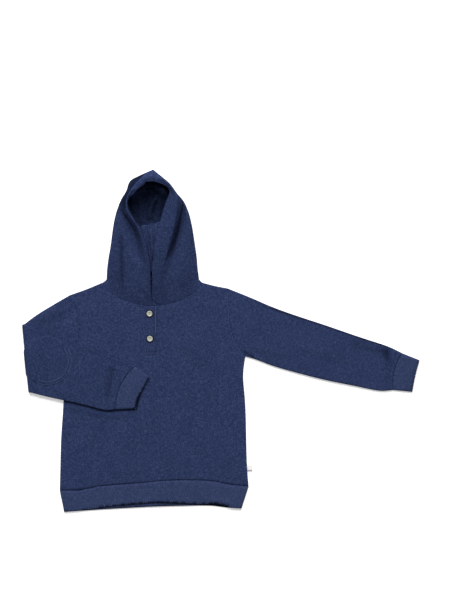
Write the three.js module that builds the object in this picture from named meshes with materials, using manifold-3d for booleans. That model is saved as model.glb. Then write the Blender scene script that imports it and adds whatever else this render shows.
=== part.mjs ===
// A toddler's hooded sweatshirt, size 98 (2 to 3 years), laid flat on its back with its hood open.
// Millimetres, +Z up. The hem points to -Y and the wearer's left sleeve is stretched towards +X.
// The wearer's right sleeve is folded at the elbow and its forearm lies over the front.
import * as THREE from 'three';
import { mergeVertices } from 'three/addons/utils/BufferGeometryUtils.js';
import Module from 'manifold-3d';

const wasm = await Module();
wasm.setup();

// Cloth and how it is stacked
const CLOTH = 1.6;               // brushed sweatshirt cloth and rib
const SEAM_GAP = 0.3;            // between two pieces that are sewn together
const LAID_GAP = 0.3;            // under a piece that lies on another
const STACK = 2.2;               // half the height of two panels lying on each other
const FOLD_GAP = 0.8;            // between the upper arm and the forearm folded over it
const EDGE_ANGLES = [0, 30, 60, 90];   // steps round a soft folded edge, in degrees

// Ribs of the hem band and cuffs
const RIB_PITCH = 3.4;
const RIB_DEPTH = 0.45;

// Placket, buttons, patch and label
const PLACKET = { left: -18, right: 4.5, bottom: 286.2, overlap: 1.5 };
const BUTTON = { radius: 5.65, thickness: 2.2, dish: 0.6, hole: 0.85, holeSpacing: 1.7 };
const BUTTONS = [
  { name: 'button_upper', x: -7, y: 356.9, turn: 68 },
  { name: 'button_lower', x: -6.3, y: 311.9, turn: 20 },
];
// The patch: its middle along the fold line and its far edge from it, and how far round the fold it starts
const PATCH = { halfHeight: 45, middle: 69, reach: 79, underAngle: 55, thickness: 1.2, lift: 0.45 };
const LABEL = { y: 74, length: 9, height: 13, wall: 0.5, slit: 0.35 };

// Outline of the body in plan, each list read away from the hem or away from the neck
const HEM_SEAM = [[-168.6, 38.6], [-138, 37.6], [-114, 43.6], [-78, 47.7], [-18, 52.4], [18, 56],
  [55, 57], [103, 55.6], [137, 49], [171.2, 46]];
const HEM_EDGE_FRONT = [[-160.9, 0.8], [-132, 3.4], [-92, 9.2], [-38, 14.6], [3, 17.3], [43, 16.7],
  [84, 15.2], [124, 15], [138, 9.4], [158.4, 6.7]];
const HEM_EDGE_BACK = [[-160.9, 0.2], [-65, 6.5], [30, 10.8], [119, 10.8], [138, 6.7], [158.4, 6.3]];
const SIDE_LEFT = [[-168.6, 38.6], [-167.4, 80], [-166.5, 130], [-161.5, 201], [-161, 262], [-164.7, 277.2]];
const SIDE_RIGHT = [[171.2, 46], [168.1, 81], [166.9, 130], [165.1, 202], [159.5, 263], [165.4, 280.1]];
const ARMHOLE_LEFT = [[-150.3, 390.6], [-139.5, 370.8], [-133.6, 350], [-133.2, 327.6], [-136.5, 300.6],
  [-147, 285.5], [-164.7, 277.2]];
const ARMHOLE_RIGHT = [[134.1, 402.4], [134.1, 363.6], [139, 331.9], [146.2, 307.8], [155, 293],
  [165.4, 280.1]];
const SHOULDER_LEFT = [[-150.3, 390.6], [-126, 398.5], [-93.2, 412.5]];
const SHOULDER_RIGHT = [[134.1, 402.4], [117.2, 406.3], [101.5, 407.5], [89.6, 412.5]];

// Neckline: two flat arcs of ellipses that meet at the neck points
const NECK = {
  x: -1.8, halfAngle: 66, width: 100, frontY: 371, frontDepth: 70, backY: 401.4, backDepth: 18.7,
};
const NECK_ANGLES_FRONT = [0, 4, 8, 16, 24, 34.5, 45, 55.5, 66];
const NECK_ANGLES_BACK = [66, 55, 44, 32, 21, 10, 0];

// Soft folds: the middle, the turn from +X in degrees, half the length, half the width and the height
const BODY_FOLDS = [
  { x: 140, y: 270, turn: 40, length: 28, width: 7, height: 1.2 },
  { x: 122, y: 318, turn: 72, length: 36, width: 10, height: 0.9 },
  { x: 62, y: 300, turn: -30, length: 42, width: 15, height: 0.7 },
  { x: -60, y: 345, turn: 35, length: 34, width: 13, height: 0.7 },
  { x: -141, y: 160, turn: 80, length: 30, width: 8, height: 0.9 },
  { x: -110, y: 152, turn: 74, length: 26, width: 8, height: 0.8 },
  { x: -62, y: 112, turn: 86, length: 62, width: 22, height: 0.8 },
  { x: 28, y: 132, turn: 92, length: 72, width: 24, height: 0.9 },
  { x: 100, y: 122, turn: 88, length: 64, width: 18, height: 0.9 },
  { x: 142, y: 110, turn: 82, length: 52, width: 11, height: 0.8 },
];
const BLOUSING = { above: 15, width: 11, height: 1.2 };    // the front swells just above the hem band
const HEM_LIFT = { x: 132, width: 26, height: 2.2 };       // the band's front stands off its back here
const LONG_SLEEVE_FOLDS = [
  { x: 160, y: 366, turn: -42, length: 28, width: 8, height: 0.7 },
  { x: 205, y: 298, turn: -12, length: 46, width: 9, height: 0.9 },
  { x: 290, y: 302, turn: -20, length: 56, width: 12, height: 0.8 },
  { x: 338, y: 262, turn: 62, length: 20, width: 8, height: 0.6 },
  { x: 421, y: 264, turn: 76, length: 26, width: 8, height: -0.9 },
  { x: 426, y: 283, turn: -16, length: 16, width: 4.5, height: 0.6 },
  { x: 416, y: 238, turn: -6, length: 18, width: 4.5, height: 0.6 },
];
const UPPER_ARM_FOLDS = [
  { x: -196, y: 352, turn: 31, length: 42, width: 13, height: 2 },
  { x: -158, y: 352, turn: 70, length: 26, width: 9, height: 0.8 },
];
const FOREARM_FOLDS = [
  { x: -80, y: 226, turn: 68, length: 34, width: 8, height: -1 },
  { x: -63, y: 228, turn: 66, length: 34, width: 5, height: 0.7 },
  { x: -103, y: 222, turn: 66, length: 16, width: 5, height: 0.8 },
  { x: -205, y: 317, turn: -22, length: 28, width: 6, height: 0.8 },
  { x: -160, y: 216, turn: -14, length: 30, width: 7, height: 0.7 },
];

// Sleeves in plan: the edge over the arm and the edge under it, both read away from the shoulder
const LONG_SLEEVE = {
  over: [[134.1, 402.4], [177.3, 385.2], [216.2, 368.1], [264.4, 351.2], [312.5, 335.5], [360.7, 318.6],
    [409, 302.9], [437, 293.5], [447.5, 286.2]],
  under: [[165.4, 280.1], [177.5, 277.4], [211.3, 263.9], [264.4, 248.8], [312.5, 236.7], [360.7, 227.2],
    [408, 217.3], [422, 216.2], [431.1, 219.6]],
  rings: 13, half: [2.2, 3, 2.7], cuffBow: 5.7,
};
const LONG_CUFF = { over: [478.8, 273.6], under: [465.7, 216.2], bow: 1.2, half: 2.5 };
const FOLD_LINE = { over: [-236.9, 337.7], under: [-225.2, 214.7] };
const UPPER_ARM = {
  over: [[-150.3, 390.6], [-182.7, 371.9], [-216, 351], [-232, 338.2]],
  under: [[-164.7, 277.2], [-190, 250], [-220.3, 215.2]],
  rings: 7,
};
const FOREARM = {
  over: [[-232, 338.2], [-206.1, 326], [-166.1, 309.6], [-122.8, 294.3], [-82.8, 281], [-49.5, 269.5],
    [-32.8, 261.9]],
  under: [[-220.3, 215.2], [-199.3, 209.5], [-161.1, 201.1], [-132.7, 194.4], [-107.8, 188.3],
    [-85, 181.6], [-67.9, 184.5]],
  rings: 9, half: [2.2, 2.7, 3], cuffBow: 9.3,
};
const FOLDED_CUFF = { over: [-7.9, 244.4], under: [-29.5, 186.1], bow: 3, half: 2.9 };

// The hood, one row for each height from the neck to the crown. Each row holds, as x, y, z, the rim at
// the open front edge, the crest of the roll beside it and the dip behind that roll, then the height of
// the soft belly, the x, y, z of the silhouette, and the y, z of the centre seam behind.
const HOOD_LEFT = [
  [[-5, 391, 8], [-14, 391.5, 9.5], [-42, 397, 9], 8, [-84.4, 418.5, 3.4], [411, 0.5]],
  [[-5.2, 417, 13.5], [-14, 418, 15.5], [-38, 422, 12], 12, [-83.4, 437, 6], [433, 3]],
  [[-6, 445, 19], [-14, 446, 21], [-29, 450, 14], 16, [-80.8, 457, 7], [458, 8]],
  [[-10, 468, 24], [-16.5, 469, 26], [-28.5, 472, 13], 17, [-77.6, 475, 8], [477, 12]],
  [[-16, 489.6, 27], [-21.5, 491, 29.5], [-31.5, 494, 12.5], 18, [-75, 493, 9], [493.5, 16]],
  [[-22, 507.6, 29], [-27.5, 509.5, 31.5], [-37.5, 510.5, 12.5], 17, [-73, 509.5, 9], [509.5, 18]],
  [[-34.2, 523.8, 30], [-39.2, 526, 32.5], [-47.5, 526, 13.5], 16, [-70.2, 525.6, 9], [525.6, 6]],
  [[-45, 538.2, 31], [-49.6, 539.5, 33.5], [-56.5, 540, 16], 14, [-66.6, 540, 9], [540, 0.5]],
  [[-49.2, 554.4, 32], [-53, 555, 34.5], [-57, 555, 21], 14, [-61.8, 554.4, 9], [554.4, 0]],
  [[-46.6, 567.6, 33.5], [-50.5, 569, 36], [-53.4, 569.5, 25], 16, [-55.9, 567.5, 9], [567, 0]],
  [[-40.6, 577.8, 35], [-44, 580, 37.5], [-46.8, 581, 28], 18, [-49.4, 580, 10], [577.8, 0]],
  [[-29.7, 587, 36.5], [-33, 590.8, 39], [-38, 593, 31], 21, [-43.4, 594.8, 12], [589, 0]],
  [[-16.2, 592.6, 37], [-19.6, 598.6, 40], [-23.6, 601.4, 35], 25, [-30, 603.8, 15], [598, 0]],
];
const HOOD_RIGHT = [
  [[-2, 391, 8.5], [7, 391.5, 10], [34, 397, 9], 8, [82.2, 418.5, 3.4], [411, 0.5]],
  [[-2.2, 417, 14.5], [12, 418, 17.5], [34, 422, 13], 13, [79.6, 437, 6], [433, 3]],
  [[-2.4, 447, 20], [20, 448, 24], [33, 450.5, 13.5], 16, [78, 458, 7], [458, 8]],
  [[-0.8, 468, 24], [26.4, 468, 28], [36, 469, 12], 17, [76, 472, 8], [477, 12]],
  [[3, 488, 26], [31.6, 488, 30.5], [41, 488.5, 11], 18, [73.6, 488.5, 9], [493.5, 16]],
  [[8.1, 507.6, 27.5], [36.4, 507.6, 32.5], [46, 508, 10.5], 18, [71, 506, 9], [509.5, 18]],
  [[12.8, 523.8, 28.5], [39.4, 523.8, 33.5], [49.4, 524, 10.5], 17, [67.8, 523, 9], [525.6, 6]],
  [[16.6, 538.2, 29], [41.4, 538.2, 34], [51.4, 538, 11], 16, [63.8, 538, 9], [540, 0.5]],
  [[21.6, 554.4, 30], [42.6, 554.4, 35], [51.6, 553.4, 15], 14, [58.6, 552.6, 9], [554.4, 0]],
  [[27, 567, 31.5], [41.6, 566.4, 35], [47.2, 565.4, 24], 16, [51.2, 564, 9], [567, 0]],
  [[29.6, 576, 33], [37.4, 575, 36], [40.2, 574.6, 31], 24, [42.4, 573, 13], [577.8, 0]],
  [[25.4, 583.6, 35], [29.4, 586.8, 38], [31.2, 587.6, 34], 27, [32.4, 588, 17], [589, 0]],
  [[14, 590.2, 36.5], [17, 597.4, 39.5], [18.6, 598.6, 36], 29, [20, 599.6, 19], [598, 0]],
];
// The crown seam in the middle plane, from the forehead over the peak down to the back: y, z
const CROWN = [[594, 37], [599.6, 38.8], [606, 38.2], [611.8, 35], [615.6, 26], [614.4, 12], [610, 2],
  [606, 0], [602, 0]];
const HOOD_BELLY = 0.62;         // where the soft belly lies, as a share of the way from dip to side
const HOOD_UNDER = 9;            // the hood's side turns under by this much before it touches the ground
const HOOD_UNDER_ALONG = 0.15;   // and lies this share of the way to the centre seam's place
// Two places behind the hood: their distance from the centre seam, their place along and their height,
// as shares of the side's distance, of the way from the side to the seam and of the seam's height
const HOOD_BEHIND = [{ out: 0.48, along: 0.7, height: 0.1 }, { out: 0.22, along: 0.95, height: 0.8 }];

const degrees = THREE.MathUtils.degToRad;
const lerp = THREE.MathUtils.lerp;
const smoothstep = THREE.MathUtils.smoothstep;

// Curves in plan

function smoothPath(points) {
  const curve = new THREE.CatmullRomCurve3(
    points.map(([x, y]) => new THREE.Vector3(x, y, 0)), false, 'centripetal');
  const at = (fraction) => {
    const p = curve.getPointAt(THREE.MathUtils.clamp(fraction, 0, 1));
    return [p.x, p.y];
  };
  return { length: curve.getLength(), at };
}

function samplePath(points, count) {
  const path = smoothPath(points);
  return Array.from({ length: count + 1 }, (_, i) => path.at(i / count));
}

// Distances along a line between two soft folded ends, and how far each has turned up from the edge
function edgeStations(length, radius, count) {
  const near = EDGE_ANGLES.slice(0, -1).map((angle) => ({
    distance: radius * (1 - Math.cos(degrees(angle))), angle,
  }));
  const middle = Array.from({ length: count + 1 }, (_, i) => ({
    distance: lerp(radius, length - radius, i / count), angle: 90,
  }));
  const far = near.map(({ distance, angle }) => ({ distance: length - distance, angle, far: true }));
  return [...near, ...middle, ...far.reverse()];
}

// A row of points moved sideways in plan, to its left where the distance is positive
function shifted(points, distance) {
  return points.map((point, i) => {
    const before = points[Math.max(i - 1, 0)];
    const after = points[Math.min(i + 1, points.length - 1)];
    const dx = after[0] - before[0];
    const dy = after[1] - before[1];
    const length = Math.hypot(dx, dy);
    return [point[0] - dy / length * distance, point[1] + dx / length * distance];
  });
}

function nearestOn(lines, x, y) {
  let best = { distance: Infinity };
  for (const line of lines) {
    for (let i = 0; i + 1 < line.length; i += 1) {
      const [ax, ay] = line[i];
      const [bx, by] = line[i + 1];
      const squared = (bx - ax) ** 2 + (by - ay) ** 2;
      const f = THREE.MathUtils.clamp(((x - ax) * (bx - ax) + (y - ay) * (by - ay)) / squared, 0, 1);
      const px = lerp(ax, bx, f);
      const py = lerp(ay, by, f);
      const distance = Math.hypot(x - px, y - py);
      if (distance < best.distance) best = { distance, x: px, y: py, along: [bx - ax, by - ay] };
    }
  }
  return best;
}

// A point on a row of points, by a rising list of values that belong to them
function pointAt(points, values, value) {
  const found = values.findIndex((v) => v > value);
  const i = found < 0 ? points.length - 1 : Math.max(found, 1);
  const f = (value - values[i - 1]) / (values[i] - values[i - 1]);
  return [0, 1].map((axis) => lerp(points[i - 1][axis], points[i][axis], f));
}

function softFolds(rows, x, y) {
  let height = 0;
  for (const row of rows) {
    const c = Math.cos(degrees(row.turn));
    const s = Math.sin(degrees(row.turn));
    const along = (x - row.x) * c + (y - row.y) * s;
    const across = (y - row.y) * c - (x - row.x) * s;
    height += row.height * Math.exp(-((along / row.length) ** 2) - (across / row.width) ** 2);
  }
  return height;
}

// The shared seams and edges

const ARM_STEPS = 6;
const armholeSeam = (points) => {
  const path = smoothPath(points);
  return edgeStations(path.length, STACK, ARM_STEPS).map((s) => path.at(s.distance / path.length));
};
const armholeLeft = armholeSeam(ARMHOLE_LEFT);
const armholeRight = armholeSeam(ARMHOLE_RIGHT);

function neckPoint(angle, back) {
  const depth = back ? NECK.backDepth : NECK.frontDepth;
  const low = back ? NECK.backY : NECK.frontY;
  return [NECK.x + NECK.width * Math.sin(degrees(angle)), low + depth * (1 - Math.cos(degrees(angle)))];
}
const bothSides = (angles) => [...angles.slice(1).reverse().map((a) => -a), ...angles];
const neckFront = bothSides(NECK_ANGLES_FRONT).map((a) => neckPoint(a, false));
const neckBack = bothSides([...NECK_ANGLES_BACK].reverse()).map((a) => neckPoint(a, true));

const EDGE_DETAIL = 24;
const sideLeft = samplePath(SIDE_LEFT, EDGE_DETAIL);
const sideRight = samplePath(SIDE_RIGHT, EDGE_DETAIL);
const shoulderLeft = samplePath(SHOULDER_LEFT, EDGE_DETAIL);
const shoulderRight = samplePath(SHOULDER_RIGHT, EDGE_DETAIL);
const foldedEdges = [sideLeft, sideRight, shoulderLeft, shoulderRight];
const seamLines = [armholeLeft, armholeRight, neckFront, samplePath(HEM_SEAM, EDGE_DETAIL)];
const BODY_MIDDLE = [0, 220];

// How far in from the nearest folded edge a point of the body lies, and which way is inwards
function foldAt(x, y) {
  const near = nearestOn(foldedEdges, x, y);
  let inward = [x - near.x, y - near.y];
  if (near.distance < 0.05) {
    inward = [-near.along[1], near.along[0]];
    const towards = inward[0] * (BODY_MIDDLE[0] - x) + inward[1] * (BODY_MIDDLE[1] - y);
    if (towards < 0) inward = inward.map((v) => -v);
  }
  const length = Math.hypot(...inward);
  const turn = Math.acos(1 - Math.min(near.distance / STACK, 1));
  return { turn, distance: near.distance, inward: inward.map((v) => v / length) };
}

// The forearm and cuff that lie over the front press it flat
const coveringArm = [...samplePath(FOREARM.over, 12), FOLDED_CUFF.over, FOLDED_CUFF.under,
  ...samplePath(FOREARM.under, 12).reverse()];

function uncovered(x, y) {
  let inside = false;
  for (let i = 0, j = coveringArm.length - 1; i < coveringArm.length; j = i, i += 1) {
    const [xi, yi] = coveringArm[i];
    const [xj, yj] = coveringArm[j];
    if ((yi > y) !== (yj > y) && x < (xj - xi) * (y - yi) / (yj - yi) + xi) inside = !inside;
  }
  return inside ? 0 : smoothstep(nearestOn([coveringArm], x, y).distance, 2, 14);
}

const hemLine = samplePath(HEM_SEAM, 48);
const hemHeight = (x) => pointAt(hemLine, hemLine.map((p) => p[0]), x)[1];

function frontRelief(x, y) {
  const above = y - hemHeight(x);
  const blousing = BLOUSING.height * Math.exp(-(((above - BLOUSING.above) / BLOUSING.width) ** 2));
  const calm = smoothstep(nearestOn([...foldedEdges, ...seamLines], x, y).distance, 0, 10);
  return (softFolds(BODY_FOLDS, x, y) + blousing) * calm * uncovered(x, y);
}

const frontTop = (x, y) => STACK + STACK * Math.sin(foldAt(x, y).turn) + frontRelief(x, y);

// Closed walls

function makeGeometry(points, triangles) {
  const position = new Float32Array(points.flat());
  let volume = 0;
  const corner = new THREE.Vector3();
  const [a, b, c] = [new THREE.Vector3(), new THREE.Vector3(), new THREE.Vector3()];
  for (const [i, j, k] of triangles) {
    a.fromArray(position, 3 * i);
    b.fromArray(position, 3 * j);
    c.fromArray(position, 3 * k);
    volume += a.dot(corner.crossVectors(b, c));
  }
  const index = volume < 0 ? triangles.map(([i, j, k]) => [i, k, j]) : triangles;
  const geometry = new THREE.BufferGeometry();
  geometry.setAttribute('position', new THREE.BufferAttribute(position, 3));
  geometry.setIndex(index.flat());
  return geometry;
}

// A sheet with an outer and an inner grid of the same size, closed along its four edges
function sheetWall(outer, inner) {
  const loops = outer.map((row, r) => [...row, ...inner[r].slice().reverse()]);
  const size = loops[0].length;
  const columns = outer[0].length;
  const points = loops.flat();
  const triangles = [];
  for (let r = 0; r + 1 < loops.length; r += 1) {
    for (let k = 0; k < size; k += 1) {
      const a = r * size + k;
      const c = r * size + (k + 1) % size;
      triangles.push([a, a + size, c], [c, a + size, c + size]);
    }
  }
  const last = (loops.length - 1) * size;
  for (let k = 0; k + 1 < columns; k += 1) {
    const back = size - 1 - k;
    triangles.push([k, k + 1, back - 1], [k, back - 1, back]);
    triangles.push([last + k, last + back - 1, last + k + 1], [last + k, last + back, last + back - 1]);
  }
  return makeGeometry(points, triangles);
}

// A tube of outer and inner loops. A loop's points carry their place round it, from 0 to 2, so that a
// ribbed outer loop can be closed to a plain inner one.
function tubeWall(outer, inner) {
  const points = [];
  const triangles = [];
  const addLoops = (loops, flip) => {
    const start = points.length;
    const size = loops[0].length;
    loops.forEach((loop) => loop.forEach((p) => points.push(p.at)));
    for (let r = 0; r + 1 < loops.length; r += 1) {
      for (let k = 0; k < size; k += 1) {
        const a = start + r * size + k;
        const c = start + r * size + (k + 1) % size;
        const pair = [[a, a + size, c], [c, a + size, c + size]];
        triangles.push(...(flip ? pair.map(([i, j, l]) => [i, l, j]) : pair));
      }
    }
    return start;
  };
  const outerStart = addLoops(outer, false);
  const innerStart = addLoops(inner, true);
  const addRim = (row, flip) => {
    const a = outer[row];
    const b = inner[row];
    const fromA = outerStart + row * a.length;
    const fromB = innerStart + row * b.length;
    const place = (loop, i) => (i < loop.length ? loop[i].place : 2);
    let i = 0;
    let j = 0;
    while (i < a.length || j < b.length) {
      const ai = fromA + i % a.length;
      const bj = fromB + j % b.length;
      const stepA = i < a.length && (j >= b.length || place(a, i + 1) <= place(b, j + 1));
      const triangle = stepA ? [ai, fromA + (i + 1) % a.length, bj] : [ai, fromB + (j + 1) % b.length, bj];
      triangles.push(flip ? [triangle[0], triangle[2], triangle[1]] : triangle);
      if (stepA) i += 1;
      else j += 1;
    }
  };
  addRim(0, false);
  addRim(outer.length - 1, true);
  return makeGeometry(points, triangles);
}

// The body: two sheets whose sides and shoulders turn towards each other

const SIDE_ROWS = 7;
const SHOULDER_STEPS = 2;
const NECK_COLUMN = EDGE_ANGLES.length - 1 + SHOULDER_STEPS;   // where the shoulder meets the neckline

function distances(points) {
  const list = [0];
  points.slice(1).forEach((p, i) => {
    list.push(list[i] + Math.hypot(p[0] - points[i][0], p[1] - points[i][1]));
  });
  return list;
}

const lineLength = (points) => distances(points).at(-1);
const fractions = (points) => distances(points).map((d) => d / lineLength(points));

// A plan grid between four edges that share their corners
function planGrid(bottom, top, left, right) {
  const topAt = fractions(top);
  const bottomAt = fractions(bottom);
  const leftAt = fractions(left);
  const rightAt = fractions(right);
  return left.map((leftPoint, r) => bottom.map((bottomPoint, c) => {
    const u = (topAt[c] + bottomAt[c]) / 2;
    const v = (leftAt[r] + rightAt[r]) / 2;
    return [0, 1].map((axis) => {
      const rows = lerp(bottomPoint[axis], top[c][axis], v);
      const columns = lerp(leftPoint[axis], right[r][axis], u);
      const corners = lerp(lerp(bottom[0][axis], bottom.at(-1)[axis], u),
        lerp(top[0][axis], top.at(-1)[axis], u), v);
      return rows + columns - corners;
    });
  }));
}

// Both ends of the hem seam are stepped like the folded edges, and the rest follows the top edge
function hemPoints(top) {
  const path = smoothPath(HEM_SEAM);
  const steps = edgeStations(path.length, STACK, 1);
  const edge = EDGE_ANGLES.length;
  const inner = top.slice(edge - 1, top.length - edge + 1);
  const from = inner[0][0];
  const to = inner.at(-1)[0];
  const middle = inner.map((p) => lerp(STACK, path.length - STACK, (p[0] - from) / (to - from)));
  const places = [...steps.slice(0, edge - 1).map((s) => s.distance), ...middle,
    ...steps.slice(-edge + 1).map((s) => s.distance)];
  return places.map((d) => path.at(d / path.length));
}

function shoulderPoints(points, count) {
  const path = smoothPath(points);
  const near = EDGE_ANGLES.slice(0, -1).map((angle) => STACK * (1 - Math.cos(degrees(angle))));
  const rest = Array.from({ length: count + 1 }, (_, i) => lerp(STACK, path.length, i / count));
  return [...near, ...rest].map((d) => path.at(d / path.length));
}

function bodyGrid(neck) {
  const gap = SEAM_GAP / 2;
  const neckline = shifted(neck, -gap);
  const fromLeft = shoulderPoints(SHOULDER_LEFT, SHOULDER_STEPS);
  const fromRight = shoulderPoints(SHOULDER_RIGHT, SHOULDER_STEPS).reverse();
  const top = [...fromLeft.slice(0, -1), ...neckline, ...fromRight.slice(1)];
  const bottom = shifted(hemPoints(top), gap);
  const side = (points, armhole, sign) => {
    const path = smoothPath(points);
    const seam = shifted(armhole, sign * gap).reverse();
    return [...Array.from({ length: SIDE_ROWS }, (_, i) => path.at(i / SIDE_ROWS)), ...seam];
  };
  const left = side(SIDE_LEFT, armholeLeft, 1);
  const right = side(SIDE_RIGHT, armholeRight, -1);
  [top[0], top[top.length - 1]] = [left.at(-1), right.at(-1)];
  [left[0], right[0]] = [bottom[0], bottom.at(-1)];
  return planGrid(bottom, top, left, right);
}

function bodySheet(grid, facing, relief) {
  const rows = grid.length;
  const columns = grid[0].length;
  const seamTangent = (r, c) => {
    const onArmhole = (c === 0 || c === columns - 1) && r >= SIDE_ROWS;
    const onHem = r === 0;
    const [first, last] = onHem ? [0, columns - 1] : [NECK_COLUMN, columns - 1 - NECK_COLUMN];
    const onNeck = r === rows - 1 && c >= first && c <= last;
    if (!onArmhole && !onHem && !onNeck) return null;
    const next = onArmhole ? grid[Math.min(r + 1, rows - 1)][c] : grid[r][Math.min(c + 1, last)];
    const before = onArmhole ? grid[Math.max(r - 1, SIDE_ROWS)][c] : grid[r][Math.max(c - 1, first)];
    const along = [next[0] - before[0], next[1] - before[1]];
    return along.map((v) => v / Math.hypot(...along));
  };
  const outer = [];
  const inner = [];
  const lip = SEAM_GAP / 2;
  grid.forEach((row, r) => {
    outer.push([]);
    inner.push([]);
    row.forEach(([x, y], c) => {
      const fold = foldAt(x, y);
      const rise = Math.sin(fold.turn);
      const lift = relief(x, y);
      let step = fold.inward.map((v) => v * CLOTH * Math.cos(fold.turn));
      const tangent = seamTangent(r, c);
      if (tangent) {
        const size = Math.hypot(...step) * Math.sign(step[0] * tangent[0] + step[1] * tangent[1]);
        step = tangent.map((v) => v * size);
      }
      const height = (wall) => STACK + facing * (lip + (STACK - lip - wall) * rise + lift);
      outer[r].push([x, y, height(0)]);
      inner[r].push([x + step[0], y + step[1], height(CLOTH)]);
    });
  });
  return sheetWall(outer, inner);
}

// Sleeves, cuffs and the hem band: tubes that lie flat

// One ring: points across it in plan from the first edge to the second, at a middle height, with the
// direction of its first face. A relief lifts the first or the second face by its place in plan, and
// thin is how far the ring lies inside the tube's outer face.
const NO_RELIEF = () => 0;

function flatRing({
  plan, stations, middle, half, face = [0, 0, 1], reliefA = NO_RELIEF, reliefB = NO_RELIEF, thin = 0,
}) {
  const side = (sign) => stations.map((station, k) => {
    const p = plan(station.distance);
    const a = plan(station.distance - 0.5);
    const b = plan(station.distance + 0.5);
    const along = b.map((v, axis) => v - a[axis]);
    const length = Math.hypot(...along);
    const turn = degrees(station.angle);
    const inward = (station.far ? -1 : 1) * thin * Math.cos(turn);
    const relief = sign > 0 ? reliefA(p, station) : reliefB(p, station);
    const rib = thin ? 0 : (station.rib ?? 0) * (sign > 0 ? 1 : 0);
    const out = sign * ((half - thin) * Math.sin(turn) + relief + rib);
    const at = p.map((v, axis) => v + along[axis] / length * inward + face[axis] * out);
    at[2] += middle;
    const place = station.distance / stations.at(-1).distance;
    return { at, place: sign > 0 ? place : 2 - place, edge: k === 0 || k === stations.length - 1 };
  });
  const first = side(1);
  const second = side(-1).filter((p) => !p.edge).reverse();
  return [...first, ...second];
}

// A line across a tube in plan: straight from edge to edge, moved by a bow along the tube
function across(over, under, bend, length = Math.hypot(under[0] - over[0], under[1] - over[1])) {
  return {
    length,
    plan: (distance) => {
      const v = distance / length;
      const shift = bend(THREE.MathUtils.clamp(v, 0, 1));
      return [lerp(over[0], under[0], v) + shift[0], lerp(over[1], under[1], v) + shift[1], 0];
    },
  };
}

// How far a seam lies off the straight line between its ends, by the fraction across
function seamBend(seam) {
  const at = fractions(seam);
  return (v) => pointAt(seam, at, v).map((p, axis) => p - lerp(seam[0][axis], seam.at(-1)[axis], v));
}

const roundBend = (bow, direction) => (v) => direction.map((d) => d * bow * 4 * v * (1 - v));
const addBends = (a, b, fa, fb) => (v) => {
  const [p, q] = [a(v), b(v)];
  return [p[0] * fa + q[0] * fb, p[1] * fa + q[1] * fb];
};
const unit = (from, to) => {
  const along = [to[0] - from[0], to[1] - from[1]];
  return along.map((v) => v / Math.hypot(...along));
};
// A value that goes from the first over the second, half way, to the third
const profile = (values, t) => lerp(
  lerp(values[0], values[1], smoothstep(t, 0, 0.5)), values[2], smoothstep(t, 0.5, 1));

const TUBE_STEPS = ARM_STEPS;
const CALM_EDGE = 12;            // soft folds fade out this near to an edge of a sleeve
const calmEdge = ({ distance }, length) => smoothstep(Math.min(distance, length - distance), 0, CALM_EDGE);

function longSleeve() {
  const seam = shifted(armholeRight, SEAM_GAP / 2);
  const over = smoothPath(LONG_SLEEVE.over);
  const under = smoothPath(LONG_SLEEVE.under);
  const armBend = seamBend(seam);
  const outer = [];
  const inner = [];
  for (let i = 0; i <= LONG_SLEEVE.rings; i += 1) {
    const t = i / LONG_SLEEVE.rings;
    const [a, b] = [over.at(t), under.at(t)];
    const cuffward = [b[1] - a[1], a[0] - b[0]].map((v) => v / Math.hypot(b[0] - a[0], b[1] - a[1]));
    const cuffBend = roundBend(LONG_SLEEVE.cuffBow, cuffward);
    const bend = addBends(armBend, cuffBend, (1 - smoothstep(t, 0, 0.5)) ** 1.5, smoothstep(t, 0.7, 1));
    const line = i === 0 ? across(seam[0], seam.at(-1), armBend, lineLength(seam)) : across(a, b, bend);
    const half = profile(LONG_SLEEVE.half, t);
    const stations = edgeStations(line.length, half, TUBE_STEPS);
    const calm = smoothstep(t, 0, 0.08) * (1 - smoothstep(t, 0.95, 1));
    const relief = (p, s) => softFolds(LONG_SLEEVE_FOLDS, p[0], p[1]) * calm * calmEdge(s, line.length);
    const ring = { plan: line.plan, stations, middle: half, half, reliefA: relief };
    outer.push(flatRing(ring));
    inner.push(flatRing({ ...ring, thin: CLOTH }));
  }
  return tubeWall(outer, inner);
}

// The fold of the bent sleeve: its line in plan, the way in from it, and the half circle it makes
const foldAlong = unit(FOLD_LINE.over, FOLD_LINE.under);
const foldInward = [-foldAlong[1], foldAlong[0]];
const foldRadius = STACK + FOLD_GAP / 2;
const foldAxis = { inward: foldRadius + STACK, height: STACK + foldRadius };
const FOREARM_FLOOR = foldAxis.height + foldRadius - STACK;
const foldPoint = (inward, along) => [0, 1].map((axis) => FOLD_LINE.over[axis]
  + foldInward[axis] * inward + foldAlong[axis] * along);

const FOLD_STEPS = 6;

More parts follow.
